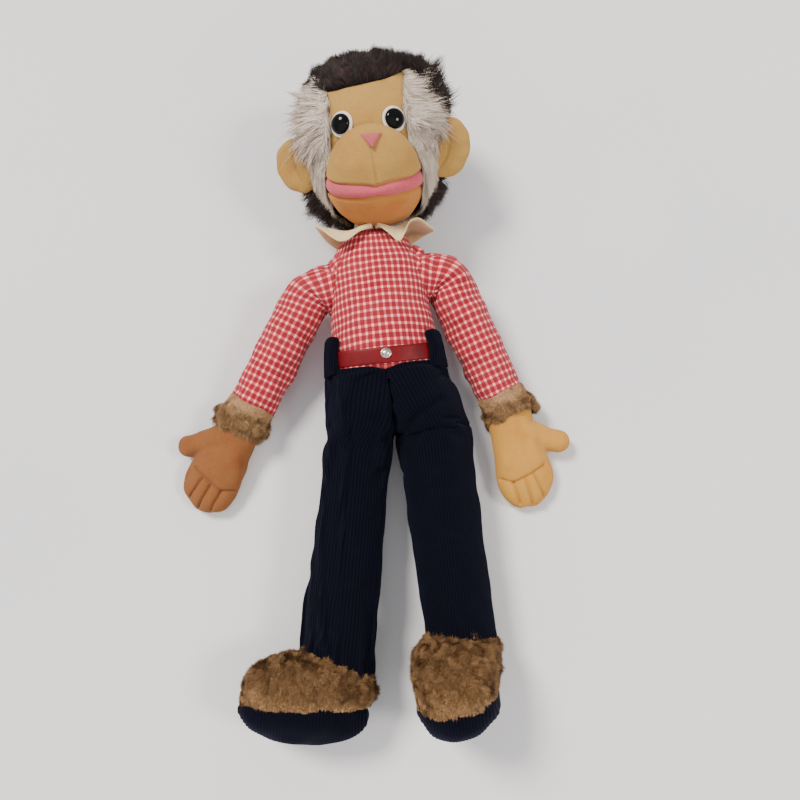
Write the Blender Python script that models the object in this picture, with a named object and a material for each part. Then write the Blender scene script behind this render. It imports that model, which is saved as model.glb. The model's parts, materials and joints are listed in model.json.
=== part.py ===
"""Stuffed monkey doll, lying on its back. Run with: blender --background --python part.py

The doll is a set of sewn skins over stuffing. X runs across it towards its left side, Y from its feet to its
head and Z up out of its front. The world origin is on the resting surface, under the middle of its whole box.
Every limb is modelled in its own frame, whose origin is its joint and whose -Y axis runs down the limb.
Sizes are in millimetres, and become metres where a mesh is made."""

from math import atan2, cos, degrees, exp, pi, radians, sin, sqrt

import bmesh
import bpy
from mathutils import Euler, Matrix, Vector

MM = 0.001
GAP = 0.3  # between two pieces that touch
STUFFING_GAP = 1.0  # between a skin and the stuffing in it
SIDES = {"left": 1, "right": -1}  # the doll's own left is at +X

# Body
PELVIS_CENTRE = Vector((16.87, -13.45, 33.0))
SPINE_LEAN = 6.3  # degrees, the spine leans to the doll's right
CHEST_RISE = 4.0  # degrees, the chest is higher than the seat
SHIRT_WALL = 1.5
PANTS_WALL = 2.0
SHIRT_SECTIONS = (  # height up the spine, half width, half depth, forward shift
    (17, 44, 28, 1),
    (40, 42, 31, 2),
    (58, 39.5, 32, 2),
    (76, 37, 31.5, 1.5),
    (90, 31.5, 30, 1),
    (104, 28.5, 27, 0),
    (118, 28, 23, -2),
    (127, 25, 20, -5),
    (131, 21, 18, -7),
)
SEAT_TOP = 20.0
SEAT_FRONT_EDGE = 11.3
SEAT_HALF_WIDTH = (54.5, 49.0)  # at the hips and at the waist
SEAT_HALF_DEPTH = (36.5, 34.5)
SEAT_SHIFT = -1.5  # the seat is fuller behind

# Belt
BELT_WIDTH = 10.0
BELT_HEIGHT = 26.0  # of its middle, up the spine
BELT_THICKNESS = 1.2
BELT_REACH = 62.0  # degrees round from the middle of the front
STUD_RADIUS = 3.6
STUD_POST_RADIUS = 1.1
TAB_HEIGHT = 28.0
TAB_WIDTH = 13.0
TAB_THICKNESS = 4.0

# Limbs
SHOULDER = Vector((49.5, 104, 0))
ARM_FRAMES = {"left": (-11.7, 25.5), "right": (-11.7, -27.5)}  # degrees of pitch, then of spread
SLEEVE_WALL = 1.4
SLEEVE_SECTIONS = (  # distance down the arm, half width, half depth
    (-17.2, 5, 5),
    (-14, 11.3, 11.3),
    (-8, 16.1, 16.1),
    (0, 18, 18),
    (35, 19, 18.5),
    (70, 18.5, 17.5),
    (105, 17.4, 16.6),
)
WRIST = 114.0
CUFF = (106.0, 122.0)
CUFF_HALF = 23.5
CUFF_INNER = (18.4, 21.4)  # at its upper and its lower end
HAND_TURN = {"left": (5.0, -16.0), "right": (5.0, 6.0)}  # degrees of pitch and of spread, added to the arm's
HAND_WALL = 1.4
HAND_SECTIONS = (  # distance from the wrist, half width, half thickness
    (-12.5, 7, 6),
    (-8, 12, 10.5),
    (0, 14.5, 12),
    (12, 15.5, 12),
    (24, 18.5, 12.5),
    (38, 20, 12.5),
    (52, 20.5, 12),
    (65, 18.5, 10.5),
    (75, 13.5, 8),
    (81, 6, 4),
)
HAND_TIP = 83.0
THUMB_ROOT, THUMB_TIP = Vector((8, -30, 0)), Vector((32, -45, 0))
THUMB_RADIUS = 8.0

HIP = Vector((27.5, -17, -5))
HIP_CLEARANCE = 31.4
LEG_PITCH = 0.9  # degrees, the heels lift the ankles a little
LEG_SPREAD = {"left": 6.5, "right": -4.5}
LEG_SECTIONS = (
    (-26, 7, 7),
    (-20, 18.1, 18.1),
    (-12, 24.2, 24.2),
    (0, 27, 27),
    (40, 26.6, 26.4),
    (90, 27, 26.6),
    (130, 27.2, 27),
    (155, 26.4, 26.4),
)
HEM_SLANT = 3.0  # the hem is this much shorter over the instep, and longer over the heel
LEG_STUFFING_END = 144.0
ANKLE = 174.0
FOOT_TURN = {"left": (14.0, -8.0), "right": (2.0, -84.0)}  # degrees of droop, then of turn about the leg
FOOT_WALL = 2.0
FOOT_UPPER = (  # distance below the ankle, shift towards the toe, half length, half width
    (-24.5, 0, 9, 9),
    (-18, 0, 18.8, 18.8),
    (-10, 0, 24, 24),
    (-2, 5, 33, 28.5),
    (6, 12.5, 42.5, 30.6),
    (15, 17, 48, 31),
    (26.5, 18.5, 48.5, 30.6),
)
FOOT_SOLE = ((26.5 + GAP, 18.5, 48.5, 30.6), (38, 17.5, 43, 27), (47, 15, 29, 18))
SOLE_BOTTOM = 52.0

# Head. Its surface is a ball with a muzzle, cut into panels along lines of longitude and latitude.
NECK = Vector((0, 136, -8))
HEAD_PITCH = 30.0
HEAD_TURN = -4.0
HEAD_ABOVE_NECK = Vector((6, 75, -7.5))
SKULL = Vector((52, 59, 48))
SKULL_BACK = 63.0
MUZZLE_BULGE = (20.0, -0.42, 0.44, 0.27)  # height, middle, spread across and spread up, on a unit ball
CHIN_BULGE = (11.0, -0.84, 0.42, 0.20)
PANEL_WALL = 2.0
FUR_THICKNESS = 7.0
CROWN_SIDES = 24
FACE_LONGITUDE = 40
SIDE_LONGITUDE = 80
SEAM = 0.3  # degrees left open on each side of a seam
HAIRLINE, BROW, LIP_TOP, LIP_BOTTOM, CHIN_EDGE, NAPE = 44, 2, -32, -38, -68, -62
EYE = (23.5, 17)  # longitude and latitude
EYE_RADIUS = 7.0
EYE_PATCH_RADIUS = 9.6
EYE_SHANK_RADIUS = 1.6
EAR_CENTRE = Vector((62, -14, -4))
EAR_HALF = Vector((17, 23, 6))
EAR_YAW = 18.0
NECK_SECTIONS = ((-15, 6), (-10, 12.8), (0, 16), (10, 14.8), (26.5, 14.2))


# ---------------------------------------------------------------- scene and materials


def clear_scene():
    for thing in list(bpy.data.objects):
        bpy.data.objects.remove(thing)


def material(name, colour, roughness, metallic=0.0):
    made = bpy.data.materials.new(name)
    made.use_nodes = True
    shader = made.node_tree.nodes["Principled BSDF"]
    shader.inputs["Base Color"].default_value = (*colour, 1.0)
    shader.inputs["Roughness"].default_value = roughness
    shader.inputs["Metallic"].default_value = metallic
    return made


def make_materials():
    return {
        "gingham": material("gingham", (0.62, 0.13, 0.14), 0.9),
        "corduroy": material("corduroy", (0.006, 0.009, 0.03), 0.9),
        "velour": material("velour", (0.62, 0.36, 0.16), 0.9),
        "tan_plush": material("tan_plush", (0.34, 0.2, 0.09), 0.95),
        "brown_fur": material("brown_fur", (0.045, 0.025, 0.02), 0.8),
        "white_fur": material("white_fur", (0.7, 0.68, 0.66), 0.8),
        "cream_felt": material("cream_felt", (0.75, 0.6, 0.4), 0.95),
        "white_felt": material("white_felt", (0.8, 0.78, 0.72), 0.95),
        "pink_felt": material("pink_felt", (0.68, 0.2, 0.24), 0.95),
        "red_vinyl": material("red_vinyl", (0.42, 0.012, 0.02), 0.4),
        "nickel": material("nickel", (0.7, 0.68, 0.62), 0.25, 1.0),
        "black_plastic": material("black_plastic", (0.005, 0.005, 0.006), 0.08),
        "clear_plastic": material("clear_plastic", (0.8, 0.8, 0.78), 0.5),
        "stuffing": material("stuffing", (0.8, 0.78, 0.7), 1.0),
    }


# ---------------------------------------------------------------- frames


def place(location, *turns):
    """A frame at location, turned by each Euler triple in turn, in degrees."""
    frame = Matrix.Translation(location)
    for turn in turns:
        frame = frame @ Euler([radians(angle) for angle in turn]).to_matrix().to_4x4()
    return frame


def body_frames():
    torso = place(PELVIS_CENTRE, (CHEST_RISE, 0, SPINE_LEAN))
    frames = {"torso": torso}
    neck_at = torso @ NECK
    frames["neck"] = place(neck_at, (0, 0, SPINE_LEAN), (HEAD_PITCH, 0, 0))
    frames["head"] = frames["neck"] @ place(HEAD_ABOVE_NECK, (0, HEAD_TURN, 0))
    for side, sign in SIDES.items():
        mirrored = Vector((sign, 1, 1))
        pitch, spread = ARM_FRAMES[side]
        arm = place(torso @ (SHOULDER * mirrored), (0, 0, spread), (-pitch, 0, 0))
        hand_pitch, hand_spread = HAND_TURN[side]
        frames["arm_" + side] = arm
        frames["hand_" + side] = arm @ place(Vector((0, -WRIST, 0)), (-hand_pitch, 0, hand_spread))
        leg = place(torso @ (HIP * mirrored), (0, 0, LEG_SPREAD[side]), (-LEG_PITCH, 0, 0))
        droop, turn = FOOT_TURN[side]
        frames["leg_" + side] = leg
        frames["foot_" + side] = leg @ place(Vector((0, -ANKLE, 0)), (0, turn, 0), (droop, 0, 0))
    return frames


def make_empties(frames):
    empties = {}
    for name, frame in frames.items():
        empty = bpy.data.objects.new("frame_" + name, None)
        bpy.context.scene.collection.objects.link(empty)
        scaled = frame.copy()
        scaled.translation = frame.translation * MM
        empty.matrix_world = scaled
        empties[name] = empty
    return empties


# ---------------------------------------------------------------- meshes


def link(name, mesh, body, finish=None, cutter=False):
    """Makes the object in its body's frame. A cutter only shapes another object."""
    thing = bpy.data.objects.new(name, mesh)
    bpy.context.scene.collection.objects.link(thing)
    thing.parent = EMPTIES[body]
    if finish:
        mesh.materials.append(MATERIALS[finish])
    if cutter:
        thing.hide_render = True
        thing.display_type = "WIRE"
    mesh.shade_smooth()
    mesh.set_sharp_from_angle(angle=radians(50))
    return thing


def mesh_of(name, points, faces):
    """A closed mesh with its faces pointing out, from points in millimetres."""
    mesh = bpy.data.meshes.new(name)
    mesh.from_pydata([Vector(point) * MM for point in points], [], faces)
    shape = bmesh.new()
    shape.from_mesh(mesh)
    bmesh.ops.recalc_face_normals(shape, faces=shape.faces)
    shape.to_mesh(mesh)
    shape.free()
    return mesh


def through(name, rings, loop=False):
    """A surface through rings of points. A ring of one point is a pole. A loop joins the last ring to the
    first, as on a tube with a wall. Otherwise an end that isn't a pole is closed with strips across it."""
    points, faces, starts = [], [], []
    for ring in rings:
        starts.append(len(points))
        points.extend(ring)
    pairs = list(zip(range(len(rings)), range(1, len(rings))))
    if loop:
        pairs.append((len(rings) - 1, 0))
    for first, second in pairs:
        count = max(len(rings[first]), len(rings[second]))
        for i in range(count):
            j = (i + 1) % count
            corners = [starts[first] + (k if len(rings[first]) > 1 else 0) for k in (i, j)]
            corners += [starts[second] + (k if len(rings[second]) > 1 else 0) for k in (j, i)]
            faces.append(tuple(dict.fromkeys(corners)))
    if not loop:
        for index in (0, len(rings) - 1):
            count = len(rings[index])
            for i in range(count // 2 if count > 1 else 0):
                corners = [starts[index] + k % count for k in (i, i + 1, count - i - 1, count - i)]
                faces.append(tuple(dict.fromkeys(corners)))
    return mesh_of(name, points, faces)


def slab(name, outer, inner):
    """A sheet with a wall: two grids of points of the same size, joined round their edges."""
    rows, columns = len(outer), len(outer[0])
    points = [p for grid in (outer, inner) for row in grid for p in row]
    half = rows * columns

    def at(row, column, side):
        return side * half + row * columns + column

    faces = []
    for side in (0, 1):
        for r in range(rows - 1):
            for c in range(columns - 1):
                cell = ((r, c), (r, c + 1), (r + 1, c + 1), (r + 1, c))
                faces.append(tuple(at(row, column, side) for row, column in cell))
    edge = [(0, c) for c in range(columns)] + [(r, columns - 1) for r in range(1, rows)]
    edge += [(rows - 1, c) for c in range(columns - 2, -1, -1)] + [(r, 0) for r in range(rows - 2, 0, -1)]
    for here, there in zip(edge, edge[1:] + edge[:1]):
        faces.append((at(*here, 0), at(*there, 0), at(*there, 1), at(*here, 1)))
    return mesh_of(name, points, faces)


def turned(name, profile, sides, frame=None):
    """A solid turned about its Z axis from a closed profile of (radius, height)."""
    rings = []
    for radius, height in profile:
        count = sides if radius > 0 else 1
        rings.append([Vector((radius * cos(2 * pi * i / sides), radius * sin(2 * pi * i / sides), height))
                      for i in range(count)])
    mesh = through(name, rings, loop=len(rings[0]) > 1)
    if frame:
        scaled = frame.copy()
        scaled.translation = frame.translation * MM
        mesh.transform(scaled)
    return mesh


def oval(along, half_x, half_z, sides, shift_x=0.0, shift_z=0.0):
    """An oval ring across the -Y axis, that far down it, starting from its front (+Z)."""
    angles = [2 * pi * i / sides for i in range(sides)]
    return [Vector((shift_x + half_x * sin(a), -along, shift_z + half_z * cos(a))) for a in angles]


def on_floor(ring, body, height=0.0):
    """Lays the ring's points on the resting surface, or on a height above it, where they would be under it."""
    frame = FRAMES[body]
    back = frame.inverted()
    placed = [frame @ point for point in ring]
    return [back @ Vector((p.x, p.y, max(p.z, height))) for p in placed]


def boolean(thing, cutter, operation="DIFFERENCE"):
    cut = thing.modifiers.new(cutter.name, "BOOLEAN")
    cut.operation = operation
    cut.solver = "EXACT"
    cut.object = cutter


def tube_skin(name, sections, wall, sides, body, finish, start=0.0):
    """A sewn tube with a wall, open at both ends, from (distance, half width, half depth) sections."""
    outer = [on_floor(oval(d, x, z, sides), body) for d, x, z in sections]
    inner = [on_floor(oval(d, x - wall, z - wall, sides), body, wall) for d, x, z in sections]
    return link(name, through(name, outer + inner[::-1], loop=True), body, finish)


def stuffing(name, sections, inset, sides, body, first, last):
    """A closed core inside a tube skin, between two distances down it."""
    inside = [(d, x - inset, z - inset) for d, x, z in sections if first < d < last and x > inset + 2]
    rings = [on_floor(oval(d, x, z, sides), body, inset) for d, x, z in inside]
    ends = [[Vector((0, -first, 0))], [Vector((0, -last, 0))]]
    return link(name, through(name, [ends[0], *rings, ends[1]]), body, "stuffing")


# ---------------------------------------------------------------- torso


def spine_ring(height, half_x, half_z, shift, sides=20):
    return oval(-height, half_x, half_z, sides, shift_z=shift)


def make_shirt():
    outer = [spine_ring(*section) for section in SHIRT_SECTIONS]
    inner = [spine_ring(h, x - SHIRT_WALL, z - SHIRT_WALL, s) for h, x, z, s in SHIRT_SECTIONS]
    link("shirt_body", through("shirt_body", outer + inner[::-1], loop=True), "torso", "gingham")
    inset = SHIRT_WALL + STUFFING_GAP
    core = [spine_ring(h, x - inset, z - inset, s) for h, x, z, s in SHIRT_SECTIONS[:7]]
    link("torso_stuffing", through("torso_stuffing", core), "torso", "stuffing")


def seat_bottom(z):
    """How low the seat reaches at depth z: straight across in front, and round the hips behind."""
    depth = z - HIP.z
    if depth >= 0:
        return SEAT_FRONT_EDGE
    return HIP.y + sqrt(max(HIP_CLEARANCE**2 - depth**2, 0.0))


def seat_rings(inset, top, floor):
    rings = []
    for share in (0.0, 0.35, 0.7, 1.0):
        half_x = SEAT_HALF_WIDTH[0] + share * (SEAT_HALF_WIDTH[1] - SEAT_HALF_WIDTH[0]) - inset
        half_z = SEAT_HALF_DEPTH[0] + share * (SEAT_HALF_DEPTH[1] - SEAT_HALF_DEPTH[0]) - inset
        ring = []
        for point in oval(0, half_x, half_z, 20, shift_z=SEAT_SHIFT):
            low = seat_bottom(point.z) + (0 if inset <= PANTS_WALL else GAP)
            ring.append(Vector((point.x, low + share * (top - low), point.z)))
        rings.append(on_floor(ring, "torso", floor))
    return rings


def make_seat():
    outer = seat_rings(0, SEAT_TOP, 0)
    inner = seat_rings(PANTS_WALL, SEAT_TOP, PANTS_WALL)
    link("pants_seat", through("pants_seat", outer + inner[::-1], loop=True), "torso", "corduroy")
    inset = PANTS_WALL + STUFFING_GAP
    core = seat_rings(inset, SHIRT_SECTIONS[0][0] - GAP, inset)
    link("seat_stuffing", through("seat_stuffing", core), "torso", "stuffing")


def shirt_half(height):
    """Half width, half depth and shift of the shirt at a height, between its sections."""
    for low, high in zip(SHIRT_SECTIONS, SHIRT_SECTIONS[1:]):
        if low[0] <= height <= high[0]:
            share = (height - low[0]) / (high[0] - low[0])
            return [a + share * (b - a) for a, b in zip(low[1:], high[1:])]
    raise ValueError(height)


def round_shirt(height, angle, lift):
    """A point that far off the shirt, at an angle in degrees round from the middle of the front."""
    half_x, half_z, shift = shirt_half(height)
    a = radians(angle)
    return Vector(((half_x + lift) * sin(a), height, shift + (half_z + lift) * cos(a)))


def strip_on_shirt(name, heights, angles, lifts, body, finish):
    """A strap that follows the shirt: its two faces are lifted off it by the two lifts."""
    grids = [[[round_shirt(h, a, lift) for a in angles] for h in heights] for lift in reversed(lifts)]
    return link(name, slab(name, *grids), body, finish)


def make_belt():
    low, high = BELT_HEIGHT - BELT_WIDTH / 2, BELT_HEIGHT + BELT_WIDTH / 2
    angles = [BELT_REACH * (i / 6 - 1) for i in range(13)]
    lifts = (2.6, 2.6 + BELT_THICKNESS)
    belt = strip_on_shirt("belt", (low, BELT_HEIGHT, high), angles, lifts, "torso", "red_vinyl")
    front = round_shirt(BELT_HEIGHT, 0, lifts[1])
    low, high = (round_shirt(end, 0, 0) for end in (low, high))
    frame = place(front, (degrees(atan2(high.z - low.z, high.y - low.y)), 0, 0))
    hole = turned("belt_hole", ((0, -4), (STUD_POST_RADIUS + GAP, -4), (STUD_POST_RADIUS + GAP, 3), (0, 3)),
                  12, frame)
    boolean(belt, link("belt_hole", hole, "torso", cutter=True))
    dome = [(STUD_RADIUS * cos(radians(a)), 0.5 + 1.3 * sin(radians(a))) for a in (0, 35, 65)]
    stud = [(0, -2.1), (STUD_POST_RADIUS, -2.1), (STUD_POST_RADIUS, GAP), (STUD_RADIUS, GAP), *dome, (0, 1.8)]
    link("belt_stud", turned("belt_stud", stud, 16, frame), "torso", "nickel")
    inside, outside = STUD_POST_RADIUS + GAP, 2.8
    back, front_face = -BELT_THICKNESS - 1.0, -BELT_THICKNESS - 0.4
    ring = ((inside, back), (outside, back), (outside, front_face), (inside, front_face))
    link("stud_washer", turned("stud_washer", ring, 12, frame), "torso", "nickel")


def make_tabs():
    """The trousers' side tabs, which stand above the waist and hold the belt's ends."""
    for side, sign in SIDES.items():
        middle = BELT_REACH + 14
        spread = TAB_WIDTH / 2 / 46 * 57.3
        angles = [sign * (middle + spread * k) for k in (-1, -0.33, 0.33, 1)]
        heights = [SEAT_TOP + GAP + TAB_HEIGHT * share for share in (0, 0.4, 0.8, 1.0)]
        strip_on_shirt("waist_tab_" + side, heights, angles, (0.5, 0.5 + TAB_THICKNESS), "torso", "corduroy")


COLLAR_RISE = 132.8
COLLAR_RADII = (24.5, 21.0)  # of its neck edge, across and front to back
COLLAR_OUTER = (  # from the middle of the front, round the neck to the back
    (3, 129, 18.8),
    (13, 118, 22.8),
    (25, 109, 25.2),
    (32, 120, 19),
    (38, 124, 12),
    (46, 123, 2),
    (40, 124, -9),
    (28, 124, -20),
    (14, 125, -26),
    (1, 125, -28),
)


def make_collar():
    """Two felt halves round the neck, each with a point in front and one on the shoulder."""
    count = len(COLLAR_OUTER)
    for side, sign in SIDES.items():
        rows = []
        for i, point in enumerate(COLLAR_OUTER):
            angle = radians(4 + 172 * i / (count - 1))
            neck_edge = Vector((COLLAR_RADII[0] * sin(angle), COLLAR_RISE, COLLAR_RADII[1] * cos(angle) - 6))
            edge = Vector(point)
            middle = (neck_edge + edge) / 2 + Vector((0, 2.0, 0))
            rows.append([Vector((sign * p.x, p.y, p.z)) for p in (neck_edge, middle, edge)])
        lifted = [[p + Vector((0, 1.6, 0)) for p in row] for row in rows]
        link("collar_" + side, slab("collar_" + side, lifted, rows), "torso", "cream_felt")


# ---------------------------------------------------------------- limbs


def make_arm(side):
    sign, body, hand = SIDES[side], "arm_" + side, "hand_" + side
    tube_skin("sleeve_" + side, SLEEVE_SECTIONS, SLEEVE_WALL, 14, body, "gingham")
    end = WRIST - 18
    stuffing("arm_stuffing_" + side, SLEEVE_SECTIONS, SLEEVE_WALL + STUFFING_GAP, 14, body, -15.5, end)
    name = "cuff_" + side
    middle = sum(CUFF) / 2
    profile = ((CUFF[0], CUFF_HALF - 2.5), (middle, CUFF_HALF), (CUFF[1], CUFF_HALF - 1.5))
    outer = [on_floor(oval(d, reach, reach, 14), body) for d, reach in profile]
    inner = [on_floor(oval(d, reach, reach, 14), body, 1.5) for d, reach in zip(CUFF, CUFF_INNER)][::-1]
    link(name, through(name, outer + inner, loop=True), body, "tan_plush")
    make_hand(hand, side, sign)


def capsule(name, start, end, radius, sides=10):
    """A round-ended rod between two points."""
    along = (end - start).normalized()
    across = along.orthogonal().normalized()
    third = along.cross(across)
    rings = [[start - along * radius]]
    for base, angles in ((start, (-50, 0)), (end, (0, 50))):
        for angle in angles:
            centre = base + along * radius * sin(radians(angle))
            reach = radius * cos(radians(angle))
            turn = [2 * pi * i / sides for i in range(sides)]
            rings.append([centre + reach * (cos(a) * across + sin(a) * third) for a in turn])
    rings.append([end + along * radius])
    return through(name, rings)


def make_hand(body, side, sign):
    """A mitten: a hollow palm with a stuffed thumb, open at the wrist."""
    rings = [on_floor(oval(d, x, z, 14), body) for d, x, z in HAND_SECTIONS]
    hand = link(body, through(body, [*rings, [Vector((0, -HAND_TIP, 0))]]), body, "velour")
    mirror = Vector((sign, 1, 1))
    thumb = capsule("thumb_" + side, THUMB_ROOT * mirror, THUMB_TIP * mirror, THUMB_RADIUS)
    boolean(hand, link("thumb_" + side, thumb, body, cutter=True), "UNION")
    hollow = [oval(d, x - HAND_WALL, z - HAND_WALL, 14) for d, x, z in HAND_SECTIONS[1:-1]]
    mouth = oval(HAND_SECTIONS[0][0] - 3, HAND_SECTIONS[0][1] - HAND_WALL, HAND_SECTIONS[0][2] - HAND_WALL, 14)
    hollow = [mouth, *(on_floor(ring, body, HAND_WALL) for ring in hollow), [Vector((0, -HAND_TIP + 4, 0))]]
    boolean(hand, link("hand_hollow_" + side, through("hand_hollow_" + side, hollow), body, cutter=True))
    stuffing("hand_stuffing_" + side, HAND_SECTIONS[:-1], HAND_WALL + STUFFING_GAP, 14, body, -10, HAND_TIP - 7)


def slanted(ring, turn, amount):
    """Moves a hem's points up the leg on the instep's side, and down it on the heel's."""
    toe = Vector((sin(radians(turn)), 0, cos(radians(turn))))
    reach = max(Vector((p.x, 0, p.z)).length for p in ring)
    return [p + Vector((0, amount * (p.x * toe.x + p.z * toe.z) / reach, 0)) for p in ring]


def make_leg(side):
    body, foot = "leg_" + side, "foot_" + side
    turn = FOOT_TURN[side][1]
    name = "pant_leg_" + side

    def rings(inset):
        made = [on_floor(oval(d, x - inset, z - inset, 16), body, inset) for d, x, z in LEG_SECTIONS]
        return [*made[:-1], slanted(made[-1], turn, HEM_SLANT)]

    skin = rings(0) + rings(PANTS_WALL)[::-1]
    link(name, through(name, skin, loop=True), body, "corduroy")
    inset = PANTS_WALL + STUFFING_GAP
    stuffing("leg_stuffing_" + side, LEG_SECTIONS, inset, 16, body, -24, LEG_STUFFING_END)
    make_foot(foot, side)


def foot_rings(sections, inset, body, floor):
    return [on_floor(oval(d, b - inset, a - inset, 18, shift_z=c), body, floor) for d, c, a, b in sections]


def make_foot(body, side):
    upper = foot_rings(FOOT_UPPER, 0, body, 0) + foot_rings(FOOT_UPPER, FOOT_WALL, body, FOOT_WALL)[::-1]
    name = "foot_upper_" + side
    link(name, through(name, upper, loop=True), body, "tan_plush")
    poles = [[Vector((0, inset - SOLE_BOTTOM, 14))] for inset in (0, FOOT_WALL, FOOT_WALL + STUFFING_GAP)]
    outer = foot_rings(FOOT_SOLE, 0, body, 0)
    inner = foot_rings(FOOT_SOLE, FOOT_WALL, body, FOOT_WALL)
    name = "foot_sole_" + side
    link(name, through(name, [poles[0], *outer[::-1], *inner, poles[1]]), body, "corduroy")
    inset = FOOT_WALL + STUFFING_GAP
    core = foot_rings(FOOT_UPPER[1:] + FOOT_SOLE[1:], inset, body, inset)
    name = "foot_stuffing_" + side
    link(name, through(name, [[Vector((0, 20.5, 0))], *core, poles[2]]), body, "stuffing")


# ---------------------------------------------------------------- neck and head


def make_neck():
    skin = [oval(-h, r, r, 14) for h, r in NECK_SECTIONS]
    inner = [oval(-h, r - SHIRT_WALL, r - SHIRT_WALL, 14) for h, r in NECK_SECTIONS]
    link("neck_skin", through("neck_skin", skin + inner[::-1], loop=True), "neck", "cream_felt")
    inset = SHIRT_WALL + STUFFING_GAP
    core = [oval(-h, r - inset, r - inset, 14) for h, r in NECK_SECTIONS]
    link("neck_stuffing", through("neck_stuffing", core), "neck", "stuffing")


def bump(direction, height, middle, across, up):
    """A soft swelling on the front of the head."""
    if direction.z <= 0:
        return 0.0
    reach = (direction.x / across) ** 2 + ((direction.y - middle) / up) ** 2
    return height * exp(-reach / 2) * min(direction.z * 2.5, 1.0)


def head_point(longitude, latitude, lift=0.0):
    """A point that far off the head's surface. Longitude 0 is the middle of the face."""
    lon, lat = radians(longitude), radians(latitude)
    direction = Vector((cos(lat) * sin(lon), sin(lat), cos(lat) * cos(lon)))
    depth = SKULL.z if direction.z > 0 else SKULL_BACK
    size = Vector((direction.x / SKULL.x, direction.y / SKULL.y, direction.z / depth)).length
    reach = 1 / size + bump(direction, *MUZZLE_BULGE) + bump(direction, *CHIN_BULGE)
    return direction * (reach + lift)


def steps(first, last, count):
    return [first + (last - first) * i / count for i in range(count + 1)]


def head_panel(name, longitudes, latitudes, lift, wall, finish, grounded=False):
    """A panel of the head's skin between lines of longitude and latitude, seams left open round it."""
    lons = [longitudes[0] + SEAM, *longitudes[1:-1], longitudes[-1] - SEAM]
    lats = [latitudes[0] + SEAM, *latitudes[1:-1], latitudes[-1] - SEAM]
    outer = [[head_point(lon, lat, lift) for lon in lons] for lat in lats]
    inner = [[head_point(lon, lat, lift - wall) for lon in lons] for lat in lats]
    if grounded:
        outer = [on_floor(row, "head") for row in outer]
        inner = [on_floor(row, "head", wall) for row in inner]
    return link(name, slab(name, outer, inner), "head", finish)


def make_face():
    across = steps(-FACE_LONGITUDE, FACE_LONGITUDE, 8)
    forehead = head_panel("forehead", across, steps(BROW, HAIRLINE, 4), 0, PANEL_WALL, "velour")
    head_panel("muzzle", across, steps(LIP_TOP, BROW, 4), 0, PANEL_WALL, "velour")
    head_panel("lips", across, steps(LIP_BOTTOM, LIP_TOP, 1), 1.2, PANEL_WALL + 1.2, "pink_felt")
    head_panel("chin", across, steps(CHIN_EDGE, LIP_BOTTOM, 4), 0, PANEL_WALL, "velour")
    return forehead


def make_fur():
    """The fur panels. Their thickness holds the backing and the pile."""
    wall = FUR_THICKNESS + PANEL_WALL
    sides = steps(FACE_LONGITUDE, SIDE_LONGITUDE, 4)
    for side, sign in SIDES.items():
        lons = sides if sign > 0 else [-lon for lon in reversed(sides)]
        head_panel("side_fur_" + side, lons, steps(NAPE, HAIRLINE, 7), FUR_THICKNESS, wall, "white_fur")
    back = steps(SIDE_LONGITUDE, 360 - SIDE_LONGITUDE, 14)
    head_panel("back_fur", back, steps(NAPE, HAIRLINE, 7), FUR_THICKNESS, wall, "brown_fur", grounded=True)
    rings = []
    turns = [360 * i / CROWN_SIDES for i in range(CROWN_SIDES)]
    heights = (HAIRLINE + SEAM, 56, 67, 79)
    for lift, order in ((FUR_THICKNESS, heights[::-1]), (FUR_THICKNESS - wall, heights)):
        rings.append([[head_point(turn, height, lift) for turn in turns] for height in order])
    poles = [[head_point(0, 90, lift)] for lift in (FUR_THICKNESS, FUR_THICKNESS - wall)]
    skin = [poles[0], *rings[0], *rings[1], poles[1]]
    link("crown_fur", through("crown_fur", skin), "head", "brown_fur")


def surface_frame(longitude, latitude, reach):
    """A frame on the face, with its Z axis along the outward normal of the patch within that many degrees."""
    east, west = (head_point(longitude + reach * k, latitude) for k in (1, -1))
    north, south = (head_point(longitude, latitude + reach * k) for k in (1, -1))
    normal = (east - west).cross(north - south).normalized()
    turn = normal.to_track_quat("Z", "Y").to_matrix().to_4x4()
    return Matrix.Translation(head_point(longitude, latitude)) @ turn


def make_eyes(forehead, core):
    """Each eye is a domed button whose shank goes through a felt patch and the skin to a washer inside."""
    for side, sign in SIDES.items():
        frame = surface_frame(sign * EYE[0], EYE[1], 8)
        foot, top = 1.3, 2.6
        hole_radius = EYE_SHANK_RADIUS + GAP
        ring = ((hole_radius, foot), (EYE_PATCH_RADIUS, foot), (EYE_PATCH_RADIUS, top), (hole_radius, top))
        link("eye_patch_" + side, turned("eye_patch", ring, 18, frame), "head", "white_felt")
        dome = [(EYE_RADIUS * cos(radians(a)), top + 1.0 + 3.4 * sin(radians(a))) for a in (0, 25, 50, 72)]
        button = [(0, -6.5), (EYE_SHANK_RADIUS, -6.5), (EYE_SHANK_RADIUS, top + GAP),
                  (EYE_RADIUS, top + GAP), *dome, (0, top + 4.4)]
        link("eye_" + side, turned("eye", button, 18, frame), "head", "black_plastic")
        washer = ((hole_radius, -4.4), (5.5, -4.4), (5.5, -3.2), (hole_radius, -3.2))
        link("eye_washer_" + side, turned("eye_washer", washer, 14, frame), "head", "clear_plastic")
        hole = turned("eye_hole", ((0, -12), (hole_radius, -12), (hole_radius, 5), (0, 5)), 12, frame)
        boolean(forehead, link("eye_hole_" + side, hole, "head", cutter=True))
        pocket = turned("eye_pocket", ((0, -8), (7, -8), (7, 5), (0, 5)), 12, frame)
        boolean(core, link("eye_pocket_" + side, pocket, "head", cutter=True))


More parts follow.
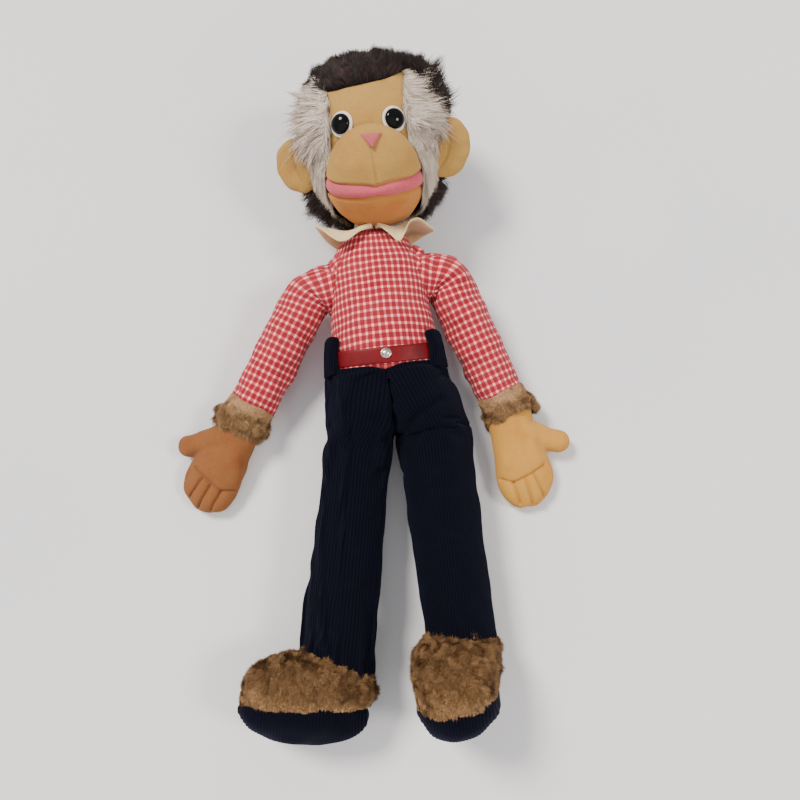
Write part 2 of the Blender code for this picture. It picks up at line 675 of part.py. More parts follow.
def make_nose():
    """A flat felt triangle, point down, on top of the muzzle."""
    grid = []
    for lift in (2.2, 0.6):
        rows = [((-7, 3), (0, 3), (7, 3)), ((-4, -4), (0, -4), (4, -4)), ((-0.8, -11), (0, -11), (0.8, -11))]
        grid.append([[head_point(lon, lat, lift) for lon, lat in row] for row in rows])
    link("nose", slab("nose", *grid), "head", "pink_felt")


def head_blob(name, lift, bottom, floor, finish=None, cutter=False):
    """The head's whole shape, flat below the height bottom, and no lower than floor over the resting surface."""
    turns = steps(0, 340, 17)
    latitudes = (70, 50, 30, 10, -10, -25, -40, -56)
    rings = [[head_point(turn, latitude, lift) for turn in turns] for latitude in latitudes]
    low = [Vector((p.x, max(p.y, bottom), p.z)) for p in (head_point(turn, -66, lift) for turn in turns)]
    rings = [on_floor(ring, "head", floor) for ring in (*rings, low)]
    poles = [[head_point(0, 90, lift)], [Vector((0, bottom, 0))]]
    return link(name, through(name, [poles[0], *rings, poles[1]]), "head", finish, cutter)


def make_ears():
    head_shape = head_blob("head_clearance", FUR_THICKNESS + 2.0, -78, 0, cutter=True)
    for side, sign in SIDES.items():
        rings = []
        for height in (-1, -0.85, -0.45, 0, 0.45, 0.85, 1):
            reach = sqrt(1 - height**2)
            y = EAR_HALF.y * height
            if reach == 0:
                rings.append([Vector((0, y, 0))])
            else:
                rings.append(oval(-y, EAR_HALF.x * reach, EAR_HALF.z * reach, 16))
        mesh = through("ear_" + side, rings)
        spot = Vector((sign * EAR_CENTRE.x, EAR_CENTRE.y, EAR_CENTRE.z))
        frame = place(spot * MM, (0, sign * EAR_YAW, 0))
        mesh.transform(frame)
        boolean(link("ear_" + side, mesh, "head", "velour"), head_shape)


# ---------------------------------------------------------------- build


def build():
    make_shirt()
    make_seat()
    make_belt()
    make_tabs()
    make_collar()
    make_neck()
    forehead = make_face()
    make_fur()
    lowest = FUR_THICKNESS + PANEL_WALL + 2.5 * STUFFING_GAP
    core = head_blob("head_stuffing", -PANEL_WALL - 1.8, -46, lowest, "stuffing")
    make_eyes(forehead, core)
    make_nose()
    make_ears()
    for side in SIDES:
        make_arm(side)
        make_leg(side)


clear_scene()
MATERIALS = make_materials()
FRAMES = body_frames()
EMPTIES = make_empties(FRAMES)
bpy.context.view_layer.update()
build()
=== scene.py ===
"""The stuffed monkey's looks: checked cloth, corduroy, felt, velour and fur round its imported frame.

Shapes are worked out in millimetres, in numpy arrays, and put in the row frame in metres.
"""

import json
from math import cos, pi, radians, sin, sqrt

import bmesh
import bpy
import numpy as np
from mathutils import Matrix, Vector
from mathutils.kdtree import KDTree


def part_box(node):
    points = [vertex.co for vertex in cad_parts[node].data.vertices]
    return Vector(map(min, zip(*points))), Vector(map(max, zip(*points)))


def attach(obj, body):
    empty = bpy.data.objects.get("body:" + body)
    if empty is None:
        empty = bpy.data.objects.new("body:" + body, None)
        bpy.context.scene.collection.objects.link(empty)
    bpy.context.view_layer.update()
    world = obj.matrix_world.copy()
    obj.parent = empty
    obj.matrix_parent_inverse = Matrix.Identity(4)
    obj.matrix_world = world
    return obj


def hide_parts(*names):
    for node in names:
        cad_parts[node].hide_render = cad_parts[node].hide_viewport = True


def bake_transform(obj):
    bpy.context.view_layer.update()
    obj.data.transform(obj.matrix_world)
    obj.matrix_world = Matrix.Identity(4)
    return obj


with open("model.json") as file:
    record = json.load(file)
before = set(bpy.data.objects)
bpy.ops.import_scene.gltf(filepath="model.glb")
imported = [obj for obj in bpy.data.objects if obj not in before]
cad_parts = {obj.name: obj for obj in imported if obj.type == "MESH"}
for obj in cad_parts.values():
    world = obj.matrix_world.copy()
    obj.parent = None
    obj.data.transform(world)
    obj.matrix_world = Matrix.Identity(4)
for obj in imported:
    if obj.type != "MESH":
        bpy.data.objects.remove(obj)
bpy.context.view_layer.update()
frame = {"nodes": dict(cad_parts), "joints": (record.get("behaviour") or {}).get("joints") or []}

MM = 0.001
SIDES = {"left": 1, "right": -1}

# ---------------------------------------------------------------- frames

JOINTS = {joint["name"]: joint for joint in frame["joints"]}
NECK_OVER_HIPS = (153.0, -3.0)  # up the spine and forwards
HIP_HEIGHT, HIP_DEPTH = -17.0, -5.0
HAND_PITCH = 5.0
FOOT_DROOP = {"left": 14.0, "right": 2.0}
HEAD_ABOVE_NECK = (6.0, 75.0, -7.5)
HEAD_TURN = -4.0


def unit(vector):
    vector = np.asarray(vector, float)
    return vector / np.maximum(np.linalg.norm(vector, axis=-1, keepdims=True), 1e-9)


def joint_at(name):
    return np.array(JOINTS[name]["pos_m"]) / MM


def joint_axis(name):
    return unit(JOINTS[name]["axis"])


def frame_of(origin, x_axis, y_axis):
    """A frame as a 4 by 4 matrix, from its origin, its X axis and the way its Y axis leans."""
    x_axis = unit(x_axis)
    y_axis = unit(y_axis - np.dot(y_axis, x_axis) * x_axis)
    made = np.eye(4)
    made[:3, 0], made[:3, 1], made[:3, 2] = x_axis, y_axis, np.cross(x_axis, y_axis)
    made[:3, 3] = origin
    return made


def turned_about_x(made, degrees):
    a = radians(degrees)
    turn = np.eye(4)
    turn[1:3, 1:3] = ((cos(a), -sin(a)), (sin(a), cos(a)))
    return made @ turn


def body_frames():
    """The frames of the bodies, in millimetres: Y runs up each limb, and Z out of the doll's front."""
    hips = (joint_at("hip_left") + joint_at("hip_right")) / 2
    spine = turned_about_x(
        frame_of(hips, -joint_axis("hip_left"), joint_at("neck_nod") - hips),
        -np.degrees(np.arctan2(NECK_OVER_HIPS[1], NECK_OVER_HIPS[0])),
    )
    spine[:3, 3] -= spine[:3, :3] @ (0, HIP_HEIGHT, HIP_DEPTH)
    frames = {"torso": spine}
    neck = frame_of(joint_at("neck_nod"), joint_axis("neck_nod"), joint_axis("head_turn"))
    frames["neck"] = neck
    a = radians(HEAD_TURN)
    turn = np.eye(4)
    turn[0, 0], turn[0, 2], turn[2, 0], turn[2, 2] = cos(a), sin(a), -sin(a), cos(a)
    turn[:3, 3] = HEAD_ABOVE_NECK
    frames["head"] = neck @ turn
    up = np.array((0.0, 0.0, 1.0))
    for side in SIDES:
        for limb, top, low in (("arm", "shoulder", "wrist"), ("leg", "hip", "ankle")):
            start, end = joint_at(f"{top}_{side}"), joint_at(f"{low}_{side}")
            frames[f"{limb}_{side}"] = frame_of(start, np.cross(start - end, up), start - end)
        arm, leg = frames["arm_" + side], frames["leg_" + side]
        x_axis = -joint_axis("wrist_" + side)
        level = frame_of(joint_at("wrist_" + side), x_axis, np.cross(arm[:3, 2], x_axis))
        frames["hand_" + side] = turned_about_x(level, -HAND_PITCH)
        level = frame_of(joint_at("ankle_" + side), -joint_axis("ankle_" + side), leg[:3, 1])
        frames["foot_" + side] = turned_about_x(level, FOOT_DROOP[side])
    return frames


FRAMES = body_frames()


def put(body, points):
    """Points in a body's frame, in the row frame."""
    made = FRAMES[body]
    return np.asarray(points, float) @ made[:3, :3].T + made[:3, 3]


def local(body, points):
    made = FRAMES[body]
    return (np.asarray(points, float) - made[:3, 3]) @ made[:3, :3]


def turned(body, ways):
    """Directions in a body's frame, in the row frame."""
    return ways @ FRAMES[body][:3, :3].T


# ---------------------------------------------------------------- shapes

WAVES = 14  # summed for a smooth random value


def cubic(table, count, wrap=False):
    """Resamples an array along its first axis with a smooth curve through its rows."""
    table = np.asarray(table, float)
    size = len(table)
    t = np.linspace(0, size if wrap else size - 1, count, endpoint=not wrap)
    i = np.floor(t).astype(int) if wrap else np.minimum(np.floor(t).astype(int), size - 2)
    f = (t - i).reshape((-1,) + (1,) * (table.ndim - 1))
    if wrap:
        a, b, c, d = (table[(i + k) % size] for k in (-1, 0, 1, 2))
    else:
        a, b, c, d = (table[np.clip(i + k, 0, size - 1)] for k in (-1, 0, 1, 2))
    return 0.5 * (2 * b + (c - a) * f + (2 * a - 5 * b + 4 * c - d) * f**2 + (3 * b - a - 3 * c + d) * f**3)


def profile(sections, at):
    """The columns of a table of sections, read at other values of its first column."""
    fine = cubic(sections, 24 * len(sections))
    return [np.interp(at, fine[:, 0], fine[:, k]) for k in range(1, fine.shape[1])]


def refine(grid, rows, columns):
    """A tube's grid of points with more rows and columns, on smooth curves."""
    along = cubic(grid, rows)
    return cubic(along.swapaxes(0, 1), columns, True).swapaxes(0, 1)


def grid_normals(grid, wrap=True, centre=None):
    """Outward normals of a grid of points, a tube round its rows' middles or a sheet round a centre."""
    down = np.gradient(grid, axis=0)
    if wrap:
        across = (np.roll(grid, -1, axis=1) - np.roll(grid, 1, axis=1)) / 2
    else:
        across = np.gradient(grid, axis=1)
    normals = unit(np.cross(down, across))
    middle = grid.mean(axis=1, keepdims=True) if centre is None else np.asarray(centre, float)
    if ((grid - middle) * normals).sum() < 0:
        normals = -normals
    return normals


def smoothed(grid, times):
    """Each point moved to the mean of its neighbours, several times. The first and last rows stay."""
    for _ in range(times):
        left, right = np.roll(grid, 1, axis=1), np.roll(grid, -1, axis=1)
        made = grid.copy()
        made[1:-1] = (left[1:-1] + right[1:-1] + grid[:-2] + grid[2:]) / 4
        grid = made
    return grid


def lumps(points, wavelength, seed):
    """A smooth random value at each point, about -1 to 1, with that wavelength in millimetres."""
    rng = np.random.default_rng(seed)
    ways = unit(rng.normal(size=(WAVES, 3))) * rng.uniform(0.6, 1.5, (WAVES, 1)) * 2 * pi / wavelength
    phase = rng.uniform(0, 2 * pi, WAVES)
    return np.sin(points @ ways.T + phase).sum(axis=-1) * sqrt(2 / WAVES) / 1.6


def swirls(points, wavelength, seed):
    """A smooth random vector at each point, each part about -1 to 1."""
    return np.stack([lumps(points, wavelength, seed + k) for k in range(3)], axis=-1)


def on_floor(points, lift=0.0):
    """The doll's back is flat where it lies on the surface."""
    points[..., 2] = np.maximum(points[..., 2], lift)
    return points


def bell(distance, width):
    """1 where the distance is 0, and close to 0 beyond about twice the width."""
    return np.exp(-((distance / width) ** 2))


def rising(value, middle, rate):
    """From 0 to 1, half way at the middle value. A negative rate falls from 1 to 0."""
    return 1 / (1 + np.exp(-(value - middle) * rate))


def groove(distance, width, depth):
    """A dent of that depth where the distance is 0."""
    return -depth * bell(distance, width)


def ring_angles(columns):
    """The angles of a ring's points, starting behind."""
    return -pi / 2 + 2 * pi * np.arange(columns) / columns


def to_polyline(points, line):
    """Each point's distance to a line of points, in the first two coordinates."""
    flat, line = points[..., :2], np.asarray(line, float)
    best = np.full(flat.shape[:-1], 1e9)
    for start, end in zip(line[:-1], line[1:]):
        along = end - start
        t = np.clip(((flat - start) @ along) / (along @ along), 0, 1)
        best = np.minimum(best, np.linalg.norm(flat - start - t[..., None] * along, axis=-1))
    return best


def rings_through(centres, x_axes, z_axes, half_x, half_z, columns):
    """Rings round a line of centres, starting behind."""
    angle = ring_angles(columns)
    round_x = np.cos(angle)[None, :, None] * np.asarray(half_x)[:, None, None] * x_axes[:, None, :]
    round_z = np.sin(angle)[None, :, None] * np.asarray(half_z)[:, None, None] * z_axes[:, None, :]
    return centres[:, None, :] + round_x + round_z


def limb_rings(body, sections, rows, columns):
    """A tube down a limb from (distance, shift across, half width, half depth, shift forwards) sections."""
    sections = np.asarray(sections, float)
    at = sections[0, 0] + (sections[-1, 0] - sections[0, 0]) * np.linspace(0, 1, rows)
    shift_x, half_x, half_z, shift_z = profile(sections, at)
    centres = np.stack([shift_x, -at, shift_z], axis=-1)
    x_axes = np.tile((1.0, 0.0, 0.0), (rows, 1))
    z_axes = np.tile((0.0, 0.0, 1.0), (rows, 1))
    return put(body, rings_through(centres, x_axes, z_axes, half_x, half_z, columns))


# ---------------------------------------------------------------- meshes


def grid_faces(rows, columns, wrap):
    wide = columns if wrap else columns - 1
    r, c = np.meshgrid(np.arange(rows - 1), np.arange(wide), indexing="ij")
    a, b = r * columns + c, r * columns + (c + 1) % columns
    return np.stack([a, b, b + columns, a + columns], axis=-1).reshape(-1, 4)


def mesh_from(name, points, faces):
    """A smooth mesh from points in millimetres and faces that all have as many corners."""
    mesh = bpy.data.meshes.new(name)
    mesh.vertices.add(len(points))
    mesh.vertices.foreach_set("co", (np.asarray(points) * MM).astype(np.float32).ravel())
    mesh.loops.add(faces.size)
    mesh.loops.foreach_set("vertex_index", faces.astype(np.int32).ravel())
    mesh.polygons.add(len(faces))
    starts = np.arange(0, faces.size, faces.shape[1], dtype=np.int32)
    mesh.polygons.foreach_set("loop_start", starts)
    mesh.update(calc_edges=True)
    mesh.shade_smooth()
    return mesh


def read(items, key):
    """One vector of each vertex, such as its place or its normal."""
    values = np.zeros(len(items) * 3, np.float32)
    items.foreach_get(key, values)
    return values.reshape(-1, 3).astype(float)


def add_cloth_uv(mesh, u, v):
    """Cloth coordinates for every corner of the faces."""
    layer = mesh.uv_layers.new(name="cloth")
    layer.data.foreach_set("uv", np.stack([u, v], axis=-1).astype(np.float32).ravel())


def show(name, mesh, materials, body=None, replaces=(), blend=None):
    """Puts a mesh in the scene as a piece and hides the parts it replaces. It rides a body, or, given a blend
    (its two bodies, a limb and two heights on it), is baked into the row frame; the blend's heights are
    worked out but not used."""
    thing = bpy.data.objects.new(name, mesh)
    bpy.context.scene.collection.objects.link(thing)
    for material in materials:
        mesh.materials.append(material)
    if body:
        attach(thing, body)
    if replaces:
        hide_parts(*replaces)
    if blend:
        bodies, limb, start, end = blend
        start, end = put(limb, np.array([(0, start, 0), (0, end, 0)], float)) * MM
        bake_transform(thing)
    return thing


def repaint(node, material):
    """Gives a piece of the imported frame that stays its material."""
    materials = frame["nodes"][node].data.materials
    materials.clear()
    materials.append(material)


def grid_mesh(name, grid, wrap=True, centre=None, cloth=None, close_ends=False):
    """A mesh from a grid of points, facing out, with the cloth's own coordinates as its UV map."""
    rows, columns = grid.shape[:2]
    faces = grid_faces(rows, columns, wrap)
    normals = grid_normals(grid, wrap, centre)
    points = grid.reshape(-1, 3)
    a, b, d = points[faces[:, 0]], points[faces[:, 1]], points[faces[:, 3]]
    if (np.cross(b - a, d - a) * normals.reshape(-1, 3)[faces[:, 0]]).sum() < 0:
        faces = faces[:, ::-1]
    mesh = mesh_from(name, points, faces)
    if cloth is not None:
        u, v = cloth
        corners = faces.ravel()
        u, v = u.reshape(-1)[corners], v.reshape(-1)[corners]
        if wrap:  # the last column's faces reach round to the first one
            period = cloth[0][0, 1] - cloth[0][0, 0]
            last = (corners % columns == 0) & np.repeat((faces % columns == columns - 1).any(axis=1), 4)
            u = np.where(last, cloth[0][0, -1] + period, u)
        add_cloth_uv(mesh, u, v)
    if close_ends:
        for row in (0, rows - 1):
            add_cap(mesh, np.arange(columns) + row * columns, points)
    return mesh


def add_cap(mesh, ring, points):
    """Closes the end of a tube with a fan."""
    shape = bmesh.new()
    shape.from_mesh(mesh)
    shape.verts.ensure_lookup_table()
    edge = [shape.verts[int(i)] for i in ring]
    middle = shape.verts.new(Vector(points[ring].mean(axis=0)) * MM)
    for a, b in zip(edge, edge[1:] + edge[:1]):
        shape.faces.new((a, b, middle)).smooth = True
    bmesh.ops.recalc_face_normals(shape, faces=shape.faces)
    shape.to_mesh(mesh)
    shape.free()


def dome_grid(rings, columns=64, squash=1.0):
    """Rings round the Z axis, from pairs of a radius and a height."""
    turn = 2 * pi * np.arange(columns) / columns
    ring = np.stack([np.cos(turn), squash * np.sin(turn), np.zeros(columns)], axis=-1)
    return np.array([ring * radius + (0, 0, height) for radius, height in rings])


def cloth_uv(rows, columns, width, length):
    """Cloth coordinates over a grid: its first runs across the cloth and its second along it."""
    u = np.tile(np.linspace(0, width, columns, endpoint=False), (rows, 1))
    v = np.tile(np.asarray(length, float).reshape(-1, 1), (1, columns))
    return u, v


# ---------------------------------------------------------------- cloth simulation

SIMULATION_SCALE = 0.01  # simulated ten times as large, where the solver is at its best
SIMULATION_FRAMES = 18


def settle_cloth(cases):
    """Sews each grid as slack cloth over its stuffing and lets it settle. A case is (grid, pinned rows,
    pressure, slack). Returns the settled grids."""
    scene = bpy.context.scene
    sewn = []
    for grid, pinned, pressure, slack in cases:
        rows, columns = grid.shape[:2]
        points = grid.reshape(-1, 3) * SIMULATION_SCALE / MM
        mesh = mesh_from("sewn", points, grid_faces(rows, columns, True))
        thing = bpy.data.objects.new("sewn", mesh)
        scene.collection.objects.link(thing)
        held = thing.vertex_groups.new(name="held")
        for row in pinned:
            held.add([int(i) for i in range(row * columns, (row + 1) * columns)], 1.0, "REPLACE")
        made = thing.modifiers.new("cloth", "CLOTH")
        settings = made.settings
        settings.quality = 6
        settings.mass = 0.25
        settings.tension_stiffness = settings.compression_stiffness = 14
        settings.shear_stiffness = 8
        settings.bending_stiffness = 0.35
        settings.tension_damping = settings.compression_damping = 12
        settings.air_damping = 4
        settings.shrink_min = -slack
        settings.use_pressure = True
        settings.uniform_pressure_force = pressure
        settings.vertex_group_mass = "held"
        settings.effector_weights.gravity = 0
        made.point_cache.frame_start, made.point_cache.frame_end = 1, SIMULATION_FRAMES
        sewn.append(thing)
    for number in range(1, SIMULATION_FRAMES + 1):
        scene.frame_set(number)
    depsgraph = bpy.context.evaluated_depsgraph_get()
    settled = []
    for thing, (grid, *_) in zip(sewn, cases):
        mesh = thing.evaluated_get(depsgraph).to_mesh()
        settled.append(read(mesh.vertices, "co").reshape(grid.shape) / SIMULATION_SCALE)
        thing.evaluated_get(depsgraph).to_mesh_clear()
    scene.frame_set(1)
    for thing in sewn:
        bpy.data.objects.remove(thing)
    return settled


def wrinkled(grid, settled, most, gain):
    """The grid with the simulation's puckers, and its own shape kept. No point moves by more than most."""
    moved = settled - grid
    moved = (moved - 0.8 * smoothed(moved, 14)) * gain
    size = np.linalg.norm(moved, axis=-1, keepdims=True)
    return grid + moved * np.minimum(1.0, most / np.maximum(size, 1e-9))


# ---------------------------------------------------------------- materials


def srgb(red, green, blue):
    """A colour as seen on a screen, 0 to 255, as the shader's linear one."""
    shares = (red / 255, green / 255, blue / 255)
    return tuple(c / 12.92 if c <= 0.0404 else ((c + 0.055) / 1.055) ** 2.4 for c in shares)


class Look:
    """A material and short ways to build its nodes."""

    def __init__(self, name, roughness=0.9, sheen=0.0, sheen_tint=(1, 1, 1), metallic=0.0, specular=0.5):
        self.material = bpy.data.materials.new(name)
        self.material.use_nodes = True
        self.tree = self.material.node_tree
        self.shader = self.tree.nodes["Principled BSDF"]
        for key, value in (("Roughness", roughness), ("Metallic", metallic), ("Sheen Weight", sheen),
                           ("Sheen Roughness", 0.5), ("Sheen Tint", (*sheen_tint, 1)),
                           ("Specular IOR Level", specular)):
            self.shader.inputs[key].default_value = value

    def node(self, kind, inputs=None, **settings):
        made = self.tree.nodes.new(kind)
        for key, value in settings.items():
            setattr(made, key, value)
        for key, value in (inputs or {}).items():
            if isinstance(value, bpy.types.NodeSocket):
                self.tree.links.new(value, made.inputs[key])
            else:
                made.inputs[key].default_value = value
        return made

    def math(self, operation, a, b):
        return self.node("ShaderNodeMath", {0: a, 1: b}, operation=operation).outputs[0]

    def times(self, a, b):
        return self.math("MULTIPLY", a, b)

    def plus(self, a, b):
        return self.math("ADD", a, b)

    def cloth(self):
        """The coordinates across and along the cloth."""
        place = self.node("ShaderNodeUVMap", uv_map="cloth").outputs[0]
        made = self.node("ShaderNodeSeparateXYZ", {0: place})
        return made.outputs[0], made.outputs[1]

    def noise(self, size, detail):
        """Noise with features of about that size in millimetres."""
        place = self.node("ShaderNodeTexCoord").outputs["Object"]
        inputs = {"Vector": place, "Scale": 1 / (size * MM), "Detail": detail, "Roughness": 0.6}
        return self.node("ShaderNodeTexNoise", inputs).outputs[0]

    def patches(self, size, low, high, share):
        """Soft patches of about that size, up to that share."""
        return self.times(self.step(self.noise(size, 3), low, high), share)

    def ramp(self, value, *stops):
        """A colour for a value, through (value, colour) stops."""
        made = self.node("ShaderNodeValToRGB", {0: value})
        elements = made.color_ramp.elements
        for place, (at, colour) in enumerate(stops):
            element = elements[place] if place < 2 else elements.new(at)
            element.position = at
            element.color = (*colour, 1) if len(colour) == 3 else colour
        return made.outputs[0]

    def mix(self, amount, a, b):
        made = self.node("ShaderNodeMix", data_type="RGBA")
        for socket, value in ((made.inputs[0], amount), (made.inputs[6], a), (made.inputs[7], b)):
            if isinstance(value, bpy.types.NodeSocket):
                self.tree.links.new(value, socket)
            else:
                socket.default_value = value if not isinstance(value, tuple) else (*value, 1)
        return made.outputs[2]

    def step(self, value, low, high):
        """Rises smoothly from 0 at low to 1 at high."""
        made = self.node("ShaderNodeMapRange", {0: value, 1: low, 2: high, 3: 0.0, 4: 1.0})
        made.interpolation_type = "SMOOTHSTEP"
        return made.outputs[0]

    def colour(self, socket):
        self.tree.links.new(socket, self.shader.inputs["Base Color"])

    def bump(self, height, distance):
        """Bump of that height in millimetres. Calls add up."""
        inputs = {"Height": height, "Distance": distance * MM, "Strength": 1.0}
        linked = self.shader.inputs["Normal"].links
        if linked:
            inputs["Normal"] = linked[0].from_socket
        made = self.node("ShaderNodeBump", inputs)
        self.tree.links.new(made.outputs[0], self.shader.inputs["Normal"])

    def rough(self, socket):
        self.tree.links.new(socket, self.shader.inputs["Roughness"])


CHECK = (4.9, 5.8)  # the checks' repeat across and along the cloth
THREADS = 9.0  # in each repeat
RIB = 2.3  # the corduroy's rib to rib


def gingham_look():
    look = Look("gingham", 0.95, 0.1, (1.0, 0.8, 0.8), specular=0.15)
    across, along = look.cloth()
    wander = look.times(look.math("SUBTRACT", look.noise(9, 2), 0.5), 0.16)
    bent = [look.math("PINGPONG", look.plus(way, wander), 0.5) for way in (across, along)]
    stripes = [look.step(way, 0.13, 0.24) for way in bent]
    both = look.times(look.plus(*stripes), 0.5)
    both = look.plus(both, look.times(look.math("SUBTRACT", look.noise(0.5, 2), 0.5), 0.3))
    base = look.ramp(both, (0.0, srgb(237, 175, 171)), (0.25, srgb(217, 119, 122)),
                     (0.5, srgb(188, 56, 66)), (0.75, srgb(158, 24, 38)), (1.0, srgb(120, 14, 26)))
    look.colour(look.mix(look.times(look.noise(26, 3), 0.14), base, srgb(225, 130, 130)))
    threads = [look.math("PINGPONG", look.times(way, THREADS), 0.5) for way in (across, along)]
    look.bump(look.plus(*threads), 0.14)
    look.bump(look.noise(5, 3), 0.25)
    return look.material


def corduroy_look():
    look = Look("corduroy", 1.0, 0.04, (0.35, 0.42, 0.85), specular=0.08)
    across, _ = look.cloth()
    # The ribs' colour is painted shade: darker in the grooves between the ribs and lighter on the ridge tops.
    rib = look.step(look.math("PINGPONG", across, 0.5), 0.06, 0.34)
    pile = look.noise(0.6, 3)
    value = look.plus(look.times(rib, 0.7), look.times(pile, 0.3))
    base = look.ramp(value, (0.1, srgb(2, 2, 6)), (0.5, srgb(4, 4, 13)), (0.95, srgb(6, 7, 20)))
    look.colour(look.mix(look.patches(18, 0.5, 0.8, 0.25), base, srgb(13, 14, 30)))
    look.bump(look.noise(0.45, 2), 0.16)
    return look.material


def shade(colour, share):
    return tuple(min(1.0, part * share) for part in colour)


def velour_look(name, colour, flush):
    """Brushed cloth: short nap that shades the colour, a little soiled."""
    look = Look(name, 1.0, 0.12, (1.0, 0.85, 0.6), specular=0.12)
    nap = look.noise(1.1, 4)
    base = look.ramp(nap, (0.25, shade(colour, 0.84)), (0.5, colour), (0.78, shade(colour, 1.12)))
    look.colour(look.mix(look.patches(24, 0.42, 0.78, 0.55), base, flush))
    look.bump(look.noise(0.6, 3), 0.12)
    look.bump(look.noise(3.2, 3), 0.25)
    return look.material


def felt_look(name, low, high, flush=None):
    look = Look(name, 0.97, 0.12, specular=0.15)
    base = look.ramp(look.noise(0.8, 4), (0.3, low), (0.7, high))
    if flush:
        base = look.mix(look.patches(12, 0.45, 0.8, 0.4), base, flush)
    look.colour(base)
    look.bump(look.noise(0.5, 3), 0.2)
    look.bump(look.noise(3.0, 2), 0.25)
    return look.material


def hide_look(name, dark, light):
    """The knitted backing that fur grows from."""
    look = Look(name, 1.0, specular=0.05)
    look.colour(look.ramp(look.noise(1.6, 4), (0.3, dark), (0.7, light)))
    look.bump(look.noise(0.9, 3), 0.5)
    return look.material


def hair_looks(name, tones, roughness=0.75):
    """One plain material for each tone of a fur. The first is darker: painted shade at the roots."""
    made = []
    for number, tone in enumerate(tones):
        look = Look(f"{name}_{number}", roughness, specular=0.2)
        look.shader.inputs["Base Color"].default_value = (*tone, 1)
        made.append(look.material)
    return made


def vinyl_look():
    look = Look("red_vinyl", 0.55, specular=0.18)
    worn = look.noise(14, 3)
    look.colour(look.ramp(worn, (0.3, srgb(84, 1, 8)), (0.6, srgb(106, 2, 13)), (0.85, srgb(120, 4, 18))))
    look.rough(look.plus(look.times(look.noise(3, 3), 0.25), 0.34))
    look.bump(look.noise(0.7, 3), 0.06)
    return look.material


def nickel_look():
    look = Look("nickel", 0.25, metallic=1.0)
    look.colour(look.ramp(look.noise(2.5, 3), (0.35, srgb(150, 146, 132)), (0.6, srgb(222, 218, 205))))
    look.rough(look.plus(look.times(look.noise(1.2, 3), 0.3), 0.12))
    look.bump(look.noise(0.6, 2), 0.03)
    return look.material


def gloss_look():
    look = Look("black_plastic", 0.06, specular=0.14)
    look.colour(look.ramp(look.noise(4, 2), (0.4, srgb(4, 4, 5)), (0.8, srgb(12, 11, 11))))
    look.rough(look.plus(look.times(look.noise(2, 3), 0.05), 0.04))
    return look.material


GINGHAM = gingham_look()
CORDUROY = corduroy_look()
FACE_SKIN = velour_look("face_velour", srgb(166, 128, 68), srgb(156, 104, 47))
CHIN_SKIN = velour_look("chin_velour", srgb(172, 114, 56), srgb(166, 78, 30))
# The two hands are tinted apart, partly painted light and shade (the left hand lit lighter and warmer, the
# right one darker) and partly real soiling.
HAND_SKINS = {
    "left": velour_look("left_hand_velour", srgb(184, 133, 60), srgb(172, 112, 42)),
    "right": velour_look("right_hand_velour", srgb(126, 79, 45), srgb(114, 48, 27)),
}
LIP_FELT = felt_look("lip_felt", srgb(174, 68, 80), srgb(198, 92, 102), srgb(180, 68, 72))
NOSE_FELT = felt_look("nose_felt", srgb(160, 72, 82), srgb(180, 90, 94))
COLLAR_FELT = felt_look("cream_felt", srgb(206, 180, 132), srgb(229, 206, 160), srgb(206, 170, 112))
PATCH_FELT = felt_look("white_felt", srgb(202, 190, 172), srgb(228, 218, 202))
VINYL, NICKEL, GLOSS = vinyl_look(), nickel_look(), gloss_look()
WASHER = felt_look("clear_plastic", srgb(190, 190, 186), srgb(216, 216, 212))
PLUSH_HIDE = hide_look("plush_hide", srgb(84, 58, 33), srgb(118, 86, 54))
KNIT = hide_look("cuff_knit", srgb(132, 96, 66), srgb(166, 128, 94))
BROWN_HIDE = hide_look("brown_hide", srgb(10, 5, 4), srgb(22, 12, 10))
WHITE_HIDE = hide_look("white_hide", srgb(128, 116, 104), srgb(176, 162, 148))
# The first tone of each fur is darker: painted shade at the hairs' roots.
PLUSH_HAIR = hair_looks("tan_plush", (srgb(76, 52, 29), srgb(104, 75, 46), srgb(122, 90, 58),
                                      srgb(144, 110, 74), srgb(178, 142, 104)))
BROWN_HAIR = hair_looks("brown_fur", (srgb(8, 4, 3), srgb(20, 11, 9), srgb(31, 19, 16),
                                      srgb(45, 29, 24), srgb(62, 42, 34)), 0.65)
WHITE_HAIR = hair_looks("white_fur", (srgb(150, 132, 116), srgb(180, 162, 144), srgb(202, 185, 168),
                                      srgb(220, 207, 192), srgb(96, 77, 66)), 0.6)


# ---------------------------------------------------------------- fur


def scatter(grid, count, rng, wrap=True, centre=None):
    """Random points over a grid, evenly by area. Returns the points, their normals, and their shares of the
    rows and columns."""
    normals = grid_normals(grid, wrap, centre)
    rows, columns = grid.shape[:2]
    wide = columns if wrap else columns - 1
    r, c = np.meshgrid(np.arange(rows - 1), np.arange(wide), indexing="ij")
    r, c = r.ravel(), c.ravel()
    c2 = (c + 1) % columns
    a, b, d = grid[r, c], grid[r, c2], grid[r + 1, c]
    area = np.linalg.norm(np.cross(b - a, d - a), axis=-1)
    pick = rng.choice(len(r), count, p=area / area.sum())
    r, c, c2 = r[pick], c[pick], c2[pick]
    s, t = rng.random((count, 1)), rng.random((count, 1))

    def between(table):
        top = table[r, c] * (1 - s) + table[r, c2] * s
        low = table[r + 1, c] * (1 - s) + table[r + 1, c2] * s
        return top * (1 - t) + low * t

    share = np.stack([(r + t[:, 0]) / (rows - 1), (c + s[:, 0]) / wide], axis=-1)
    return between(grid), unit(between(normals)), share


